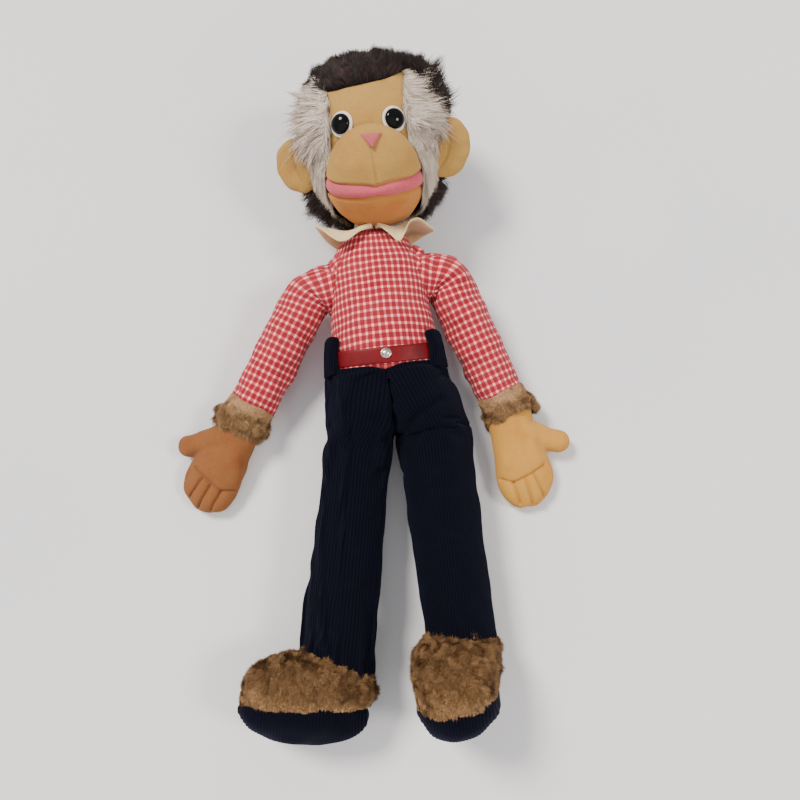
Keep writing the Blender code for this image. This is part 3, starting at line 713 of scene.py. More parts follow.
def grow(roots, normals, comb, length, rng, segments, lift, curl, clumps, pull):
    """The paths of hairs. Each leaves the skin by its share of lift and bends over to the way it is combed.
    The nearest of the clumps pulls it in."""
    count = len(roots)
    combed = unit(comb - (comb * normals).sum(axis=1, keepdims=True) * normals + 1e-6)
    way = unit(normals * lift + combed * (1 - lift) + rng.normal(size=(count, 3)) * curl)
    flat = unit(combed + normals * lift * 0.35 + rng.normal(size=(count, 3)) * curl)
    paths = [roots - normals * 0.4]
    for k in range(segments):
        share = (k + 0.5) / segments
        step = unit(way * (1 - share) + flat * share + rng.normal(size=(count, 3)) * curl * 0.5)
        paths.append(paths[-1] + step * (length / segments)[:, None])
    paths = np.stack(paths, axis=1)
    chosen = rng.choice(count, clumps, replace=False)
    tree = KDTree(clumps)
    for number, spot in enumerate(roots[chosen]):
        tree.insert(spot, number)
    tree.balance()
    nearest = chosen[[tree.find(spot)[1] for spot in roots]]
    share = (np.linspace(0, 1, segments + 1) ** 1.3)[None, :, None] * pull
    return on_floor(paths * (1 - share) + paths[nearest] * share, 0.15)


def ribbon_mesh(name, paths, normals, width, tones, shaded_root_faces=1):
    """Flat hairs that face away from the skin, each a strip that narrows to a point. Its material goes by its
    tone, and its first faces have the roots' darker one, painted shade at the roots."""
    count, points = paths.shape[:2]
    segments = points - 1
    along = np.gradient(paths, axis=1)
    across = unit(np.cross(along, normals[:, None, :]))
    taper = np.sqrt(np.linspace(1, 0, points))[None, :-1, None] * width[:, None, None] / 2
    left, right = paths[:, :-1] + across[:, :-1] * taper, paths[:, :-1] - across[:, :-1] * taper
    corners = np.concatenate([np.stack([left, right], axis=2).reshape(count, -1, 3), paths[:, -1:]], axis=1)
    pattern = []
    for k in range(segments - 1):
        a = 2 * k
        pattern += [(a, a + 1, a + 3), (a, a + 3, a + 2)]
    pattern.append((2 * segments - 2, 2 * segments - 1, 2 * segments))
    faces = np.asarray(pattern)[None] + (np.arange(count) * corners.shape[1])[:, None, None]
    mesh = mesh_from(name, corners.reshape(-1, 3), faces.reshape(-1, 3))
    index = np.repeat(tones, len(pattern)).reshape(-1, len(pattern))
    # each hair's first faces take tone 0: painted shade at the roots
    index[:, :shaded_root_faces] = 0
    mesh.polygons.foreach_set("material_index", index.astype(np.int32).ravel())
    return mesh


def nearest_tone(tone, last):
    """Whole tones, from 1 to the last."""
    return np.clip(np.round(tone), 1, last).astype(int)


# ---------------------------------------------------------------- shirt

SHIRT_SECTIONS = (  # height up the spine, half width, half depth, forward shift
    (12, 43.0, 28.5, 1.0),
    (26, 42.8, 30.0, 1.5),
    (40, 41.5, 31.5, 2.0),
    (58, 40.0, 32.3, 2.0),
    (76, 39.0, 31.8, 1.5),
    (90, 39.0, 30.2, 1.0),
    (102, 39.0, 27.8, 0.0),
    (112, 37.0, 25.3, -1.0),
    (120, 33.0, 23.8, -2.2),
    (129, 27.5, 21.8, -3.6),
    (137, 21.5, 19.2, -4.8),
)
AROUND_WAIST, AROUND_SLEEVE = 250.0, 118.0
SHIRT_SHIFT = -1.8  # to the doll's right
SHOULDER_SAG = {"left": 4.5, "right": 6.5}
SLEEVE_RADII = (  # share of the sleeve's length, half width, half depth
    (0.0, 20.0, 19.6),
    (0.1, 20.2, 20.0),
    (0.25, 19.6, 19.2),
    (0.5, 19.2, 18.4),
    (0.8, 18.6, 17.6),
    (0.94, 18.2, 17.2),
    (1.0, 17.7, 16.7),
)
SLEEVE_END = 115.5


def shirt_grid(rows, columns):
    sections = np.array(SHIRT_SECTIONS)[::-1]
    sections[:, 0] = -sections[:, 0]
    table = [(d, SHIRT_SHIFT, x, z, shift) for d, x, z, shift in sections]
    return limb_rings("torso", table, rows, columns)


def sleeve_grid(side, rows, columns):
    """From the armhole, over the shoulder and down the arm to the cuff."""
    sign = SIDES[side]
    inside = put("torso", np.array([(20 * sign, 104, -2), (33 * sign, 102, -1.5)]))
    down = put("arm_" + side, np.array([(0, -d, 0) for d in (10, 36, 62, 90, SLEEVE_END)]))
    centres = cubic(np.concatenate([inside, down]), 60)
    gone = np.concatenate([[0], np.cumsum(np.linalg.norm(np.diff(centres, axis=0), axis=1))])
    at = np.linspace(0, gone[-1], rows)
    centres = np.stack([np.interp(at, gone, centres[:, k]) for k in range(3)], axis=-1)
    way = unit(np.gradient(centres, axis=0))
    front = FRAMES["arm_" + side][:3, 2]
    front = unit(front - (way @ front)[:, None] * way)
    x_axes = unit(np.cross(front, way))
    half_x, half_z = profile(SLEEVE_RADII, at / at[-1])
    sag = SHOULDER_SAG[side] * bell(at / at[-1] - 0.2, 0.12)
    centres = centres - sag[:, None] * unit(FRAMES["torso"][:3, 1] + 0.5 * sign * FRAMES["torso"][:3, 0])
    return rings_through(centres, x_axes, front, half_x, half_z, columns), at


# ---------------------------------------------------------------- trousers

HIP_SECTIONS = (  # height up the spine, shift across, half width, half depth, shift forwards
    (22, 8.5, 37.0, 34.5, 0.8),
    (11, 11.0, 37.4, 35.4, 0.2),
    (0, 14.5, 37.8, 36.2, -1.0),
    (-12, 18.5, 36.0, 35.4, -2.2),
    (-24, 23.5, 31.8, 32.4, -3.6),
)
LEG_SECTIONS = (  # share of the way down from the hip to the hem, half width, half depth
    (0.13, 28.6, 28.2),
    (0.27, 27.0, 26.8),
    (0.55, 27.2, 26.8),
    (0.8, 27.4, 27.2),
    (0.94, 26.8, 26.6),
    (1.0, 26.0, 25.8),
)
HEM = {"left": (167.5, 4.0), "right": (178.5, 8.0)}  # distance below the hip, and more or less at the sides
LEG_HANG = {"left": (0.93, 2.2), "right": (1.0, 0.0)}  # narrower down at the hem, and shifted across there
RIBS = 74
GROIN = ((4, -30), (18, -18), (36, -8))  # the crease across the top of each thigh
GROIN_DEPTH = {"left": 2.2, "right": 1.2}
SEAT_LEAN, SEAT_LOW, SEAT_TOP = 0.08, -24.0, 22.0  # the middle seam's slant across, between two heights
BELT_HEIGHT, BELT_WIDTH, BELT_RISE, BELT_REACH, BELT_LIFT = 28.3, 12.0, 4.8, 64.0, 3.0


def belt_height(turn):
    """The belt's middle, at angles round from the front. It rises towards the sides."""
    return BELT_HEIGHT + BELT_RISE * (1 - np.cos(np.radians(turn))) / (1 - cos(radians(BELT_REACH)))


def waist_height(x, turn):
    """The trousers' top edge, just under the belt and notched in the middle."""
    edge = np.minimum(belt_height(turn), BELT_HEIGHT + 9) - BELT_WIDTH / 2 - 1.4
    return edge - 2.8 * bell(x, 8)


def hem_at(side, x):
    """The hem's distance below the hip at a spot across the leg, given as a share of its half width."""
    mean, tilt = HEM[side]
    return mean + tilt * x


def trouser_grid(side, columns=48):
    """One half of the trousers: half of the seat, cut off at the middle seam, and the leg under it."""
    sign = SIDES[side]
    rings = []
    angle = ring_angles(columns)
    for number, (height, shift, half_x, half_z, forward) in enumerate(HIP_SECTIONS):
        x = np.maximum(shift + half_x * np.cos(angle), 0.25)
        z = forward + half_z * np.sin(angle)
        heights = np.full(columns, float(height))
        if number == 0:
            turn = np.degrees(np.arctan2(x / 45, z / 34))
            heights = waist_height(x, turn)
        x = x * sign - SEAT_LEAN * (height - SEAT_LOW)
        rings.append(put("torso", np.stack([x, heights, z], axis=-1)))
    slim, lean = LEG_HANG[side]
    for share, half_x, half_z in LEG_SECTIONS:
        across = sign * np.cos(angle)
        half_x = half_x * (1 - (1 - slim) * np.clip((share - 0.3) / 0.5, 0, 1))
        distance = 22 + (HEM[side][0] - 22) * (share - 0.13) / 0.87 + HEM[side][1] * across * share**4
        ring = np.stack([half_x * across + lean * share, -distance, half_z * np.sin(angle)], axis=-1)
        rings.append(put("leg_" + side, ring))
    return on_floor(np.array(rings))


def groin_fold(points, side):
    """The crease across the top of the thigh."""
    spots = local("torso", points)
    spots[..., 0] *= SIDES[side]
    front = rising(spots[..., 2], 4, 0.25)
    return front * groove(to_polyline(spots, GROIN), 3.2, GROIN_DEPTH[side])


def make_trousers(side, coarse, settled):
    grid = wrinkled(coarse, settled, 2.0, 0.9)
    rows, columns = 120, RIBS * 6
    fine = refine(grid, rows, columns)
    normals = grid_normals(fine)
    fine += normals * groin_fold(fine, side)[..., None]
    rib = 0.15 * np.cos(2 * pi * np.arange(columns) / 6)[None, :, None]
    fine += normals * (rib + 0.5 * lumps(fine, 26, 5 + SIDES[side])[..., None])
    inner = local("torso", fine)
    sheared = SEAT_LEAN * (np.clip(inner[..., 1], SEAT_LOW, SEAT_TOP) - SEAT_LOW)
    outwards = (inner[..., 0] + sheared) * SIDES[side]
    upper = np.arange(rows)[:, None] < rows * 0.3
    inner[..., 0] = np.where(upper, np.maximum(outwards, 0.1), outwards) * SIDES[side] - sheared
    fine = on_floor(put("torso", inner))
    normals = grid_normals(fine)
    waist = [fine[6] - normals[6] * 2.6, fine[2] - normals[2] * 2.2, fine[0] - normals[0] * 1.1]
    hem = [fine[-1] - normals[-1] * 1.1, fine[-3] - normals[-3] * 3.0]
    fine = np.concatenate([waist, fine, hem])
    length = np.concatenate([[0], np.cumsum(np.linalg.norm(np.diff(fine.mean(axis=1), axis=0), axis=1))])
    cloth = cloth_uv(len(fine), columns, RIBS, length / 10)
    name = "pant_leg_" + side
    nodes = [name, "leg_stuffing_" + side]
    nodes += ["pants_seat"] if side == "left" else ["seat_stuffing"]
    mesh = grid_mesh("trousers_" + side, fine, cloth=cloth)
    blend = ("torso", "leg_" + side), "leg_" + side, 8, -34
    show("trousers_" + side, mesh, [CORDUROY], replaces=nodes, blend=blend)


# ---------------------------------------------------------------- waist


BELT_THICKNESS = 1.2
STUD_PROFILE = (  # radius, height
    (0.0, 2.0),
    (1.0, 1.95),
    (2.0, 1.6),
    (2.8, 1.05),
    (3.2, 0.6),
    (3.4, 0.5),
    (3.7, 0.6),
    (3.95, 0.45),
    (4.0, 0.15),
    (3.9, -0.1),
    (3.0, -0.2),
)


def round_shirt(height, angle, lift):
    """Points that far off the shirt, at angles in degrees round from the middle of the front."""
    half_x, half_z, shift = profile(SHIRT_SECTIONS, height)
    a = np.radians(angle)
    x = SHIRT_SHIFT + (half_x + lift) * np.sin(a)
    return np.stack([x, height, shift + (half_z + lift) * np.cos(a)], axis=-1)


def make_belt():
    """A flat strap with rounded edges, its cross-section swept round the waist."""
    turns = np.linspace(-BELT_REACH, BELT_REACH, 120)
    section = []
    for a in np.linspace(0, 2 * pi, 28, endpoint=False):
        across = np.sign(cos(a)) * abs(cos(a)) ** 0.35 * BELT_WIDTH / 2
        section.append((across, BELT_THICKNESS / 2 * np.sign(sin(a)) * abs(sin(a)) ** 0.8))
    grid = []
    for turn in turns:
        heights = np.array([belt_height(turn) + a for a, _ in section])
        lifts = np.array([BELT_LIFT + t for _, t in section]) + 0.4 * sin(radians(turn) * 5 + 1)
        grid.append(round_shirt(heights, np.full(len(section), turn), lifts))
    grid = put("torso", np.array(grid))
    mesh = grid_mesh("belt", grid, close_ends=True)
    belt = show("vinyl_belt", mesh, [VINYL], "torso", ["belt"])
    place = round_shirt(np.array([BELT_HEIGHT + 1.2]), np.array([0.0]), np.array([BELT_LIFT + 0.9]))[0]
    stud = put("torso", dome_grid(STUD_PROFILE, 40) + place)
    mesh = grid_mesh("stud", stud, centre=put("torso", place - (0, 0, 4)))
    show("stud", mesh, [NICKEL], "torso", ["belt_stud"])
    repaint("stud_washer", NICKEL)


PINKED_REACH, TEETH, TOOTH_HEIGHT = 60, 0.42, 1.3  # degrees round each way, teeth a degree, their height
CLOTH_THICKNESS, FELT_THICKNESS = 0.5, 1.3


def make_hem():
    """The shirt's pinked hem, a white zigzag edge that shows between the belt and the trousers."""
    columns, rows = 420, 7
    turns = np.linspace(-PINKED_REACH, PINKED_REACH, columns)
    teeth = TOOTH_HEIGHT * np.abs(((turns * TEETH) % 1) - 0.5) * 2
    x = 43 * np.sin(np.radians(turns))
    bottom = waist_height(x, turns) + 0.9 - teeth
    share = np.linspace(0, 1, rows)[:, None]
    heights = (BELT_HEIGHT + 4) * (1 - share) + bottom[None, :] * share
    lift = 0.9 + 1.5 * share + 0.25 * np.sin(np.radians(turns) * 9)[None, :]
    grid = round_shirt(heights, np.broadcast_to(turns, heights.shape), lift)
    checks = (90 - np.broadcast_to(turns, heights.shape)) / 360 * round(AROUND_WAIST / CHECK[0])
    mesh = grid_mesh("shirt_hem", put("torso", grid), wrap=False, centre=put("torso", (0, 20, 0)),
                     cloth=(checks, heights / CHECK[1]))
    hem = show("shirt_hem", mesh, [GINGHAM], "torso")
    hem.modifiers.new("thickness", "SOLIDIFY").thickness = CLOTH_THICKNESS * MM


TAB_WIDTH, TAB_THICKNESS, TAB_AT = 15.5, 6.0, {"left": 53.0, "right": 60.5}
TAB_STRAIGHT = 0.86  # share of its length, up to where its top starts to round off
TAB_ENDS = {"left": (18.0, 47.0), "right": (20.0, 50.0)}


def make_tab(side):
    """A doubled corduroy tab that stands up from the trousers over an end of the belt."""
    sign = SIDES[side]
    rows, columns = 70, 96
    angle = 2 * pi * np.arange(columns) / columns
    heights = np.linspace(*TAB_ENDS[side], rows)
    grid = []
    for number, height in enumerate(heights):
        share = number / (rows - 1)
        top = max(0.0, (share - TAB_STRAIGHT) / (1 - TAB_STRAIGHT))
        close = sqrt(max(0.0, 1 - top**2)) * 0.97 + 0.03
        half = TAB_WIDTH / 2 * (0.94 + 0.06 * cos(share * 6)) * close
        thick = TAB_THICKNESS / 2 * (0.6 + 0.4 * close)
        across = half * np.sign(np.cos(angle)) * np.abs(np.cos(angle)) ** 0.6
        out = thick * np.sign(np.sin(angle)) * np.abs(np.sin(angle)) ** 0.7
        out = out + 0.3 * np.cos(2 * pi * across / RIB) * np.sign(out)
        turn = sign * (TAB_AT[side] + np.degrees(across / 40))
        lean = 6.2 - 3.0 * max(0.0, share - 0.6)
        grid.append(round_shirt(np.full(columns, height), turn, lean + out))
    grid = put("torso", np.array(grid))
    across = np.tile(TAB_WIDTH / RIB * np.cos(angle) / 2, (rows, 1))
    cloth = (across, np.tile(heights[:, None] / 10, (1, columns)))
    mesh = grid_mesh("waist_tab_" + side, grid, cloth=cloth, close_ends=True)
    show("side_tab_" + side, mesh, [CORDUROY], "torso", ["waist_tab_" + side])


# ---------------------------------------------------------------- collar

COLLAR_OUTER = {  # from the middle of the front, round the neck to the back, in the torso's frame
    "left": ((3, 135, 22), (10, 126.5, 26), (17.5, 118.5, 28.5), (23, 125, 27), (28, 135, 22), (35, 138, 19),
             (43, 134, 14), (48, 134, 5), (43, 137, -9), (28, 133, -20), (14, 131, -26), (1, 131, -28)),
    "right": ((3, 135, 22), (12, 130, 26), (21, 123, 28), (28, 123, 28), (35, 131, 22), (41, 139, 16),
              (46, 145, 8), (45, 146, -3), (39, 140, -12), (28, 134, -20), (14, 131, -26), (1, 131, -28)),
}


def make_collar(side):
    """Half of a felt collar, creased over at the neck, with a point in front."""
    sign = SIDES[side]
    columns, rows = 120, 24
    edge = cubic(COLLAR_OUTER[side], columns)
    turn = np.radians(np.linspace(2, 178, columns))
    neck = np.stack([24.0 * np.sin(turn), 138.4 - 2.5 * np.cos(turn), 20.5 * np.cos(turn) - 5.0], axis=-1)
    t = np.linspace(0, 1, rows)[:, None, None]
    grid = neck * (1 - t) + edge * t
    rise = 4.5 * np.sin(np.clip(t * 1.15, 0, 1) * pi) * (1 - 0.55 * t)
    grid = grid + rise * np.array((0, 0.75, 0.35))
    ripple = 1.0 * np.sin(np.linspace(0, 15, columns) + sign)[None, :, None] * t**2
    grid = grid + ripple * np.array((0.2, 0.3, 1.0))
    grid[..., 0] *= sign
    grid = put("torso", grid)
    mesh = grid_mesh("felt_collar_" + side, grid, wrap=False, centre=put("torso", (0, 120, -8)))
    collar = show("felt_collar_" + side, mesh, [COLLAR_FELT], "torso", ["collar_" + side])
    thick = collar.modifiers.new("thickness", "SOLIDIFY")
    thick.thickness = FELT_THICKNESS * MM
    thick.offset = 1.0


# ---------------------------------------------------------------- hands

HAND_SECTIONS = (  # distance from the wrist, shift to the thumb's side, half width, half thickness
    (-3, 1.2, 10.0, 9.0),
    (2, 1.7, 15.2, 12.8),
    (9, 1.9, 17.6, 14.5),
    (16, 2.0, 18.0, 14.2),
    (30, 2.6, 18.2, 13.0),
    (45, 4.2, 20.2, 12.6),
    (58, 5.2, 21.8, 12.0),
    (70, 5.2, 21.9, 10.8),
    (79, 4.6, 18.8, 9.0),
    (85.5, 3.8, 12.6, 6.4),
    (89, 3.4, 6.0, 3.4),
)
HAND_SHIFT = {"left": 1.6, "right": 0.8}
THUMB_TIPS = {"left": (38.0, -42.0), "right": (34.0, -45.5)}
THUMB_ROOT, THUMB_RADII = (9.0, -31.0), (14.0, 9.2)
KNUCKLES = ((-19, -63), (-7, -69), (1, -67), (10.5, -63.5), (21, -59))
FINGERS = (((-7, -69), (-3.5, -86)), ((3, -68), (6.8, -88)), ((11, -65), (17, -83)))


def make_hand(side):
    """A mitten with a thumb, and grooves where the fingers are stitched."""
    sign, body = SIDES[side], "hand_" + side
    sections = [(d, sign * (s + HAND_SHIFT[side]), x, z, 0.0) for d, s, x, z in HAND_SECTIONS]
    palm = on_floor(limb_rings(body, sections, 60, 64), 0.3)
    tip = np.array((*THUMB_TIPS[side], 0.0)) * (sign, 1, 1)
    root = np.array((*THUMB_ROOT, 0.0)) * (sign, 1, 1)
    way = unit(tip - root)
    rows = []
    for share in np.linspace(0, 1, 24):
        radius = THUMB_RADII[0] + (THUMB_RADII[1] - THUMB_RADII[0]) * min(share * 1.3, 1.0)
        rows.append((root + (tip - root) * share, radius))
    for angle in np.linspace(0, 84, 10)[1:]:
        rows.append((tip + way * THUMB_RADII[1] * sin(radians(angle)), THUMB_RADII[1] * cos(radians(angle))))
    centres = np.array([row[0] for row in rows])
    radii = np.array([row[1] for row in rows])
    x_axes, z_axes = (np.tile(axis, (len(rows), 1)) for axis in (np.cross(way, (0, 0, 1.0)), (0.0, 0.0, 1.0)))
    thumb = on_floor(put(body, rings_through(centres, x_axes, z_axes, radii, radii * 0.95, 40)), 0.3)
    mesh = union_mesh("mitten_" + side, (palm, thumb), 0.75)
    points, normals = read(mesh.vertices, "co") / MM, read(mesh.vertices, "normal")
    spots = local(body, points) * (sign, 1, 1)
    front = np.clip(spots[:, 2] / 4, 0, 1)
    spots[:, 0] -= HAND_SHIFT[side]
    off = to_polyline(spots, KNUCKLES)
    push = (groove(off, 0.9, 1.9) + groove(off, 4.0, 0.9)) * front + 0.5 * lumps(points, 17, 31 + sign)
    for line in FINGERS:
        off = to_polyline(spots, line)
        push += (groove(off, 0.9, 2.0) + groove(off, 3.0, 0.8)) * front
    points += normals * push[:, None]
    points = on_floor(points, 0.05)
    mesh.vertices.foreach_set("co", (points * MM).astype(np.float32).ravel())
    mesh.update()
    nodes = [body, "hand_stuffing_" + side]
    show("mitten_" + side, mesh, [HAND_SKINS[side]], body, nodes)


def union_mesh(name, grids, voxel):
    """One closed skin round several tubes, by a voxel remesh, smoothed."""
    shape = bmesh.new()
    for grid in grids:
        rows, columns = grid.shape[:2]
        verts = [shape.verts.new(Vector(point) * MM) for point in grid.reshape(-1, 3)]
        for quad in grid_faces(rows, columns, True):
            shape.faces.new([verts[i] for i in quad])
        shape.faces.new(verts[:columns])
        shape.faces.new(verts[-columns:])
    bmesh.ops.recalc_face_normals(shape, faces=shape.faces)
    raw = bpy.data.meshes.new(name + "_raw")
    shape.to_mesh(raw)
    shape.free()
    thing = bpy.data.objects.new(name + "_raw", raw)
    bpy.context.scene.collection.objects.link(thing)
    remesh = thing.modifiers.new("skin", "REMESH")
    remesh.mode = "VOXEL"
    remesh.voxel_size = voxel * MM
    relax = thing.modifiers.new("relax", "SMOOTH")
    relax.factor, relax.iterations = 0.5, 12
    depsgraph = bpy.context.evaluated_depsgraph_get()
    mesh = bpy.data.meshes.new_from_object(thing.evaluated_get(depsgraph))
    mesh.name = name
    bpy.data.objects.remove(thing)
    mesh.shade_smooth()
    return mesh


# ---------------------------------------------------------------- cuffs and feet

CUFF_SECTIONS = (  # distance below the shoulder, half width, half depth
    (110, 18.0, 17.2),
    (112, 19.0, 18.2),
    (117, 19.2, 18.4),
    (122, 19.4, 18.6),
    (128, 19.8, 18.8),
    (133, 19.2, 17.8),
    (135, 17.4, 15.8),
)
CUFF_BLEND = (112, 130)  # distances below the shoulder, given with the cuff's blend, which is not used
CUFF_ARCH = {"left": 7.0, "right": 1.0}  # how far the lower edge arches up over the front of the hand


def plush(name, grid, count, rng, length, comb, bright, lift=0.72):
    """Short dense pile over a grid."""
    roots, normals, share = scatter(grid, count, rng)
    comb = np.tile(unit(comb), (count, 1)) * 0.5 + swirls(roots, 9, 11) * 0.75
    size = length(share) * rng.uniform(0.75, 1.2, count) * (1 + 0.25 * lumps(roots, 8, 8))
    paths = grow(roots, normals, comb, np.maximum(size, 0.8), rng, 2, lift, 0.3, count // 26, 0.27)
    width = 0.42 * rng.uniform(0.8, 1.25, count)
    tone = 2.35 + 0.3 * lumps(roots, 16, 21) + 0.2 * lumps(roots, 5, 22) + rng.normal(size=count) * 0.6
    tone += bright(share)
    return ribbon_mesh(name, paths, normals, width, nearest_tone(tone, 4), 0)


def make_cuff(side, rng):
    bodies = ("arm_" + side, "hand_" + side)
    blend = bodies, bodies[0], -CUFF_BLEND[0], -CUFF_BLEND[1]
    shift = 1.6 * SIDES[side]
    sections = [(d, shift * (d - 108) / 20, x, z, 0.0) for d, x, z in CUFF_SECTIONS]
    grid = limb_rings(bodies[0], sections, 40, 72)
    arch = CUFF_ARCH[side] * bell(np.arange(72) - 36, 12)
    low = np.clip((np.arange(40) - 12) / 27, 0, 1)
    grid = on_floor(grid + (low[:, None] * arch)[..., None] * FRAMES[bodies[0]][:3, 1], 0.1)
    normals = grid_normals(grid)
    fluffy = rising(np.arange(40), 19, 0.4)[:, None, None]
    grid = on_floor(grid + normals * (0.9 * lumps(grid, 11, 40 + SIDES[side])[..., None] + 0.2) * fluffy, 0.1)
    mesh = grid_mesh("cuff_band_" + side, grid)
    node = ["cuff_" + side]
    show("cuff_band_" + side, mesh, [KNIT], replaces=node, blend=blend)

    def length(share):
        over_hand = 0.06 * CUFF_ARCH[side] * bell(share[:, 1] - 0.5, 1 / 6)
        return 1.1 + 4.6 * (1 - over_hand) * rising(share[:, 0], 0.42, 22)

    def bright(share):
        return 0.2 + 1.1 * rising(share[:, 0], 0.4, -22)

    down = -FRAMES[bodies[0]][:3, 1]
    mesh = plush("cuff_pile_" + side, grid, 40000, rng, length, down, bright, 0.55)
    show("cuff_pile_" + side, mesh, PLUSH_HAIR, blend=blend)


FOOT_SOLE = (  # distance below the ankle, shift forwards, half length, half width
    (25.0, 19.2, 44.0, 27.0),
    (27.0, 19.2, 47.2, 29.8),
    (31.0, 18.8, 48.4, 30.8),
    (37.0, 17.8, 45.8, 29.0),
    (43.0, 16.5, 39.5, 24.0),
    (48.0, 15.2, 28.0, 16.5),
    (51.0, 14.3, 14.0, 8.0),
    (52.0, 14.0, 1.0, 0.6),
)
SOLE_EDGE = {  # how far up the sole's edge comes, at each 60 degrees round from behind the heel
    "left": (0.0, 1.0, 2.5, 1.5, 1.0, 1.0),
    "right": (3.0, 0.5, -1.5, -1.0, -1.5, 0.5),
}
FOOT_SHAPE = {  # the sole's shift across, its width, its shift to the toe, its length, and its shift down
    "left": (-4.5, 0.95, 0.0, 1.0, -3.2),
    "right": (0.0, 1.0, 3.2, 0.94, 3.0),
}
SEAM_AT, SEAM_HALF, SEAM_AHEAD = 27.5, (29.6, 46.8), 19.0  # below the ankle, half width and length, middle
TUCK_RADII = ((-5.0, 25.2), (-3.0, 25.6), (0.0, 26.0))  # the plush inside the hem: distance from it, radius


def sole_edge(side, count):
    return cubic(np.array(SOLE_EDGE[side]), count, wrap=True)


def shaped_foot(side, spots, heel=1.0):
    """A foot's own shape: shifted, narrowed and shortened. The heel's plush keeps more of its length."""
    across, narrow, ahead, short, down = FOOT_SHAPE[side]
    made = spots.copy()
    made[..., 0] = spots[..., 0] * narrow + across
    made[..., 1] = spots[..., 1] - down
    made[..., 2] = 18 + (spots[..., 2] - 18) * (1 - (1 - short) * heel) + ahead * heel
    return made


def foot_grid(side, rows, columns):
    """The plush from the trousers' hem, out over the foot and down to the sole's edge."""
    foot, leg = "foot_" + side, "leg_" + side
    angle = ring_angles(columns)
    ways = np.stack([np.cos(angle), np.zeros(columns), np.sin(angle)], axis=-1)
    ways = ways @ FRAMES[foot][:3, :3].T @ FRAMES[leg][:3, :3]
    ways[:, 1] = 0
    ways = unit(ways)
    rings = []
    for ahead, radius in TUCK_RADII:
        ring = ways * radius * (1, 1, LEG_HANG[side][0])
        ring[:, 0] += LEG_HANG[side][1]
        ring[:, 1] = -(hem_at(side, ways[:, 0]) + ahead)
        rings.append(put(leg, ring))
    height = sole_edge(side, columns) - SEAM_AT
    ahead = SEAM_AHEAD + SEAM_HALF[1] * np.sin(angle)
    low = np.stack([SEAM_HALF[0] * np.cos(angle), height, ahead], axis=-1)
    low = put(foot, shaped_foot(side, low, 0.5))
    down = -FRAMES[leg][:3, 1]
    way = low - rings[-1]
    fall = (way @ down)[:, None] * down
    for bend in np.linspace(0, pi / 2, rows - 2)[1:]:
        rings.append(rings[2] + (way - fall) * sin(bend) ** 0.9 + fall * (1 - cos(bend)) ** 0.95)
    return on_floor(np.array(rings), 0.2)


def make_foot(side, rng):
    body, leg = "foot_" + side, "leg_" + side
    rows, columns = 60, 120
    grid = foot_grid(side, rows, columns)
    bulge = np.sin(np.linspace(0, pi, rows))[:, None]
    swell = (1.0 * lumps(grid, 26, 60 + SIDES[side]) + 1.8) * bulge
    grid = on_floor(grid + grid_normals(grid) * swell[..., None], 0.2)
    hem = HEM[side][0]
    blend = (leg, body), leg, -(hem - 6), -(hem + 12)
    nodes = ["foot_upper_" + side, "foot_stuffing_" + side]
    mesh = grid_mesh("foot_hide_" + side, grid)
    show("foot_hide_" + side, mesh, [PLUSH_HIDE], replaces=nodes, blend=blend)

    def length(share):
        return 1.8 + 3.4 * rising(share[:, 0], 0.8, -18)

    def bright(share):
        return 1.3 * rising(share[:, 0], 0.86, 22) - 0.75

    mesh = plush("foot_pile_" + side, grid, 62000, rng, length, -FRAMES[body][:3, 1], bright)
    show("foot_pile_" + side, mesh, PLUSH_HAIR, blend=blend)
    make_sole(side)


def make_sole(side):
    """A puffed corduroy sole, ribbed across on one foot and along on the other."""
    body = "foot_" + side
    sections = [(d, 0.0, b, a, c) for d, c, a, b in FOOT_SOLE]
    rows, columns = 90, 260
    sole = limb_rings(body, sections, rows, columns)
    spots = local(body, sole)
    rise = sole_edge(side, columns)[None, :] * np.clip(1 - np.arange(rows) / 40, 0, 1)[:, None] ** 1.5
    spots[..., 1] += rise
    ribbed = spots[..., 0] if side == "left" else spots[..., 2]
    ribs = 0.24 * np.cos(2 * pi * ribbed / RIB)
    sole = put(body, shaped_foot(side, spots))
    middle = put(body, (0, -25, 18))
    normals = grid_normals(sole, centre=middle)
    sole = on_floor(sole + normals * (ribs + 0.7 * lumps(sole, 24, 70 + SIDES[side]))[..., None])
    mesh = grid_mesh("sole_" + side, sole, centre=middle)
    corners = np.zeros(len(mesh.loops), np.int32)
    mesh.loops.foreach_get("vertex_index", corners)
    add_cloth_uv(mesh, ribbed.ravel()[corners] / RIB, spots[..., 1].ravel()[corners] / 10)
    show("corduroy_sole_" + side, mesh, [CORDUROY], body, ["foot_sole_" + side])


# ---------------------------------------------------------------- head

SKULL, SKULL_BACK = np.array((52.0, 59.0, 48.0)), 63.0
MUZZLE_AT, MUZZLE_SPREAD, MUZZLE_DROP, MUZZLE_HEIGHT = (0.01, -0.47), (0.70, 0.72), 0.62, 19.0
LIP_CURVE, LIP_DEPTH = 0.05, -0.128
HEAD_MIDDLE = put("head", (0.0, 0.0, 0.0))


def muzzle_reach(d):
    """How far out a direction is over the muzzle, 1 at its seam."""
    across = (d[..., 0] - MUZZLE_AT[0]) / MUZZLE_SPREAD[0]
    up = d[..., 1] - MUZZLE_AT[1]
    up = np.where(up > 0, up / MUZZLE_SPREAD[1], up / MUZZLE_DROP)
    return np.sqrt(across**2 + up**2)


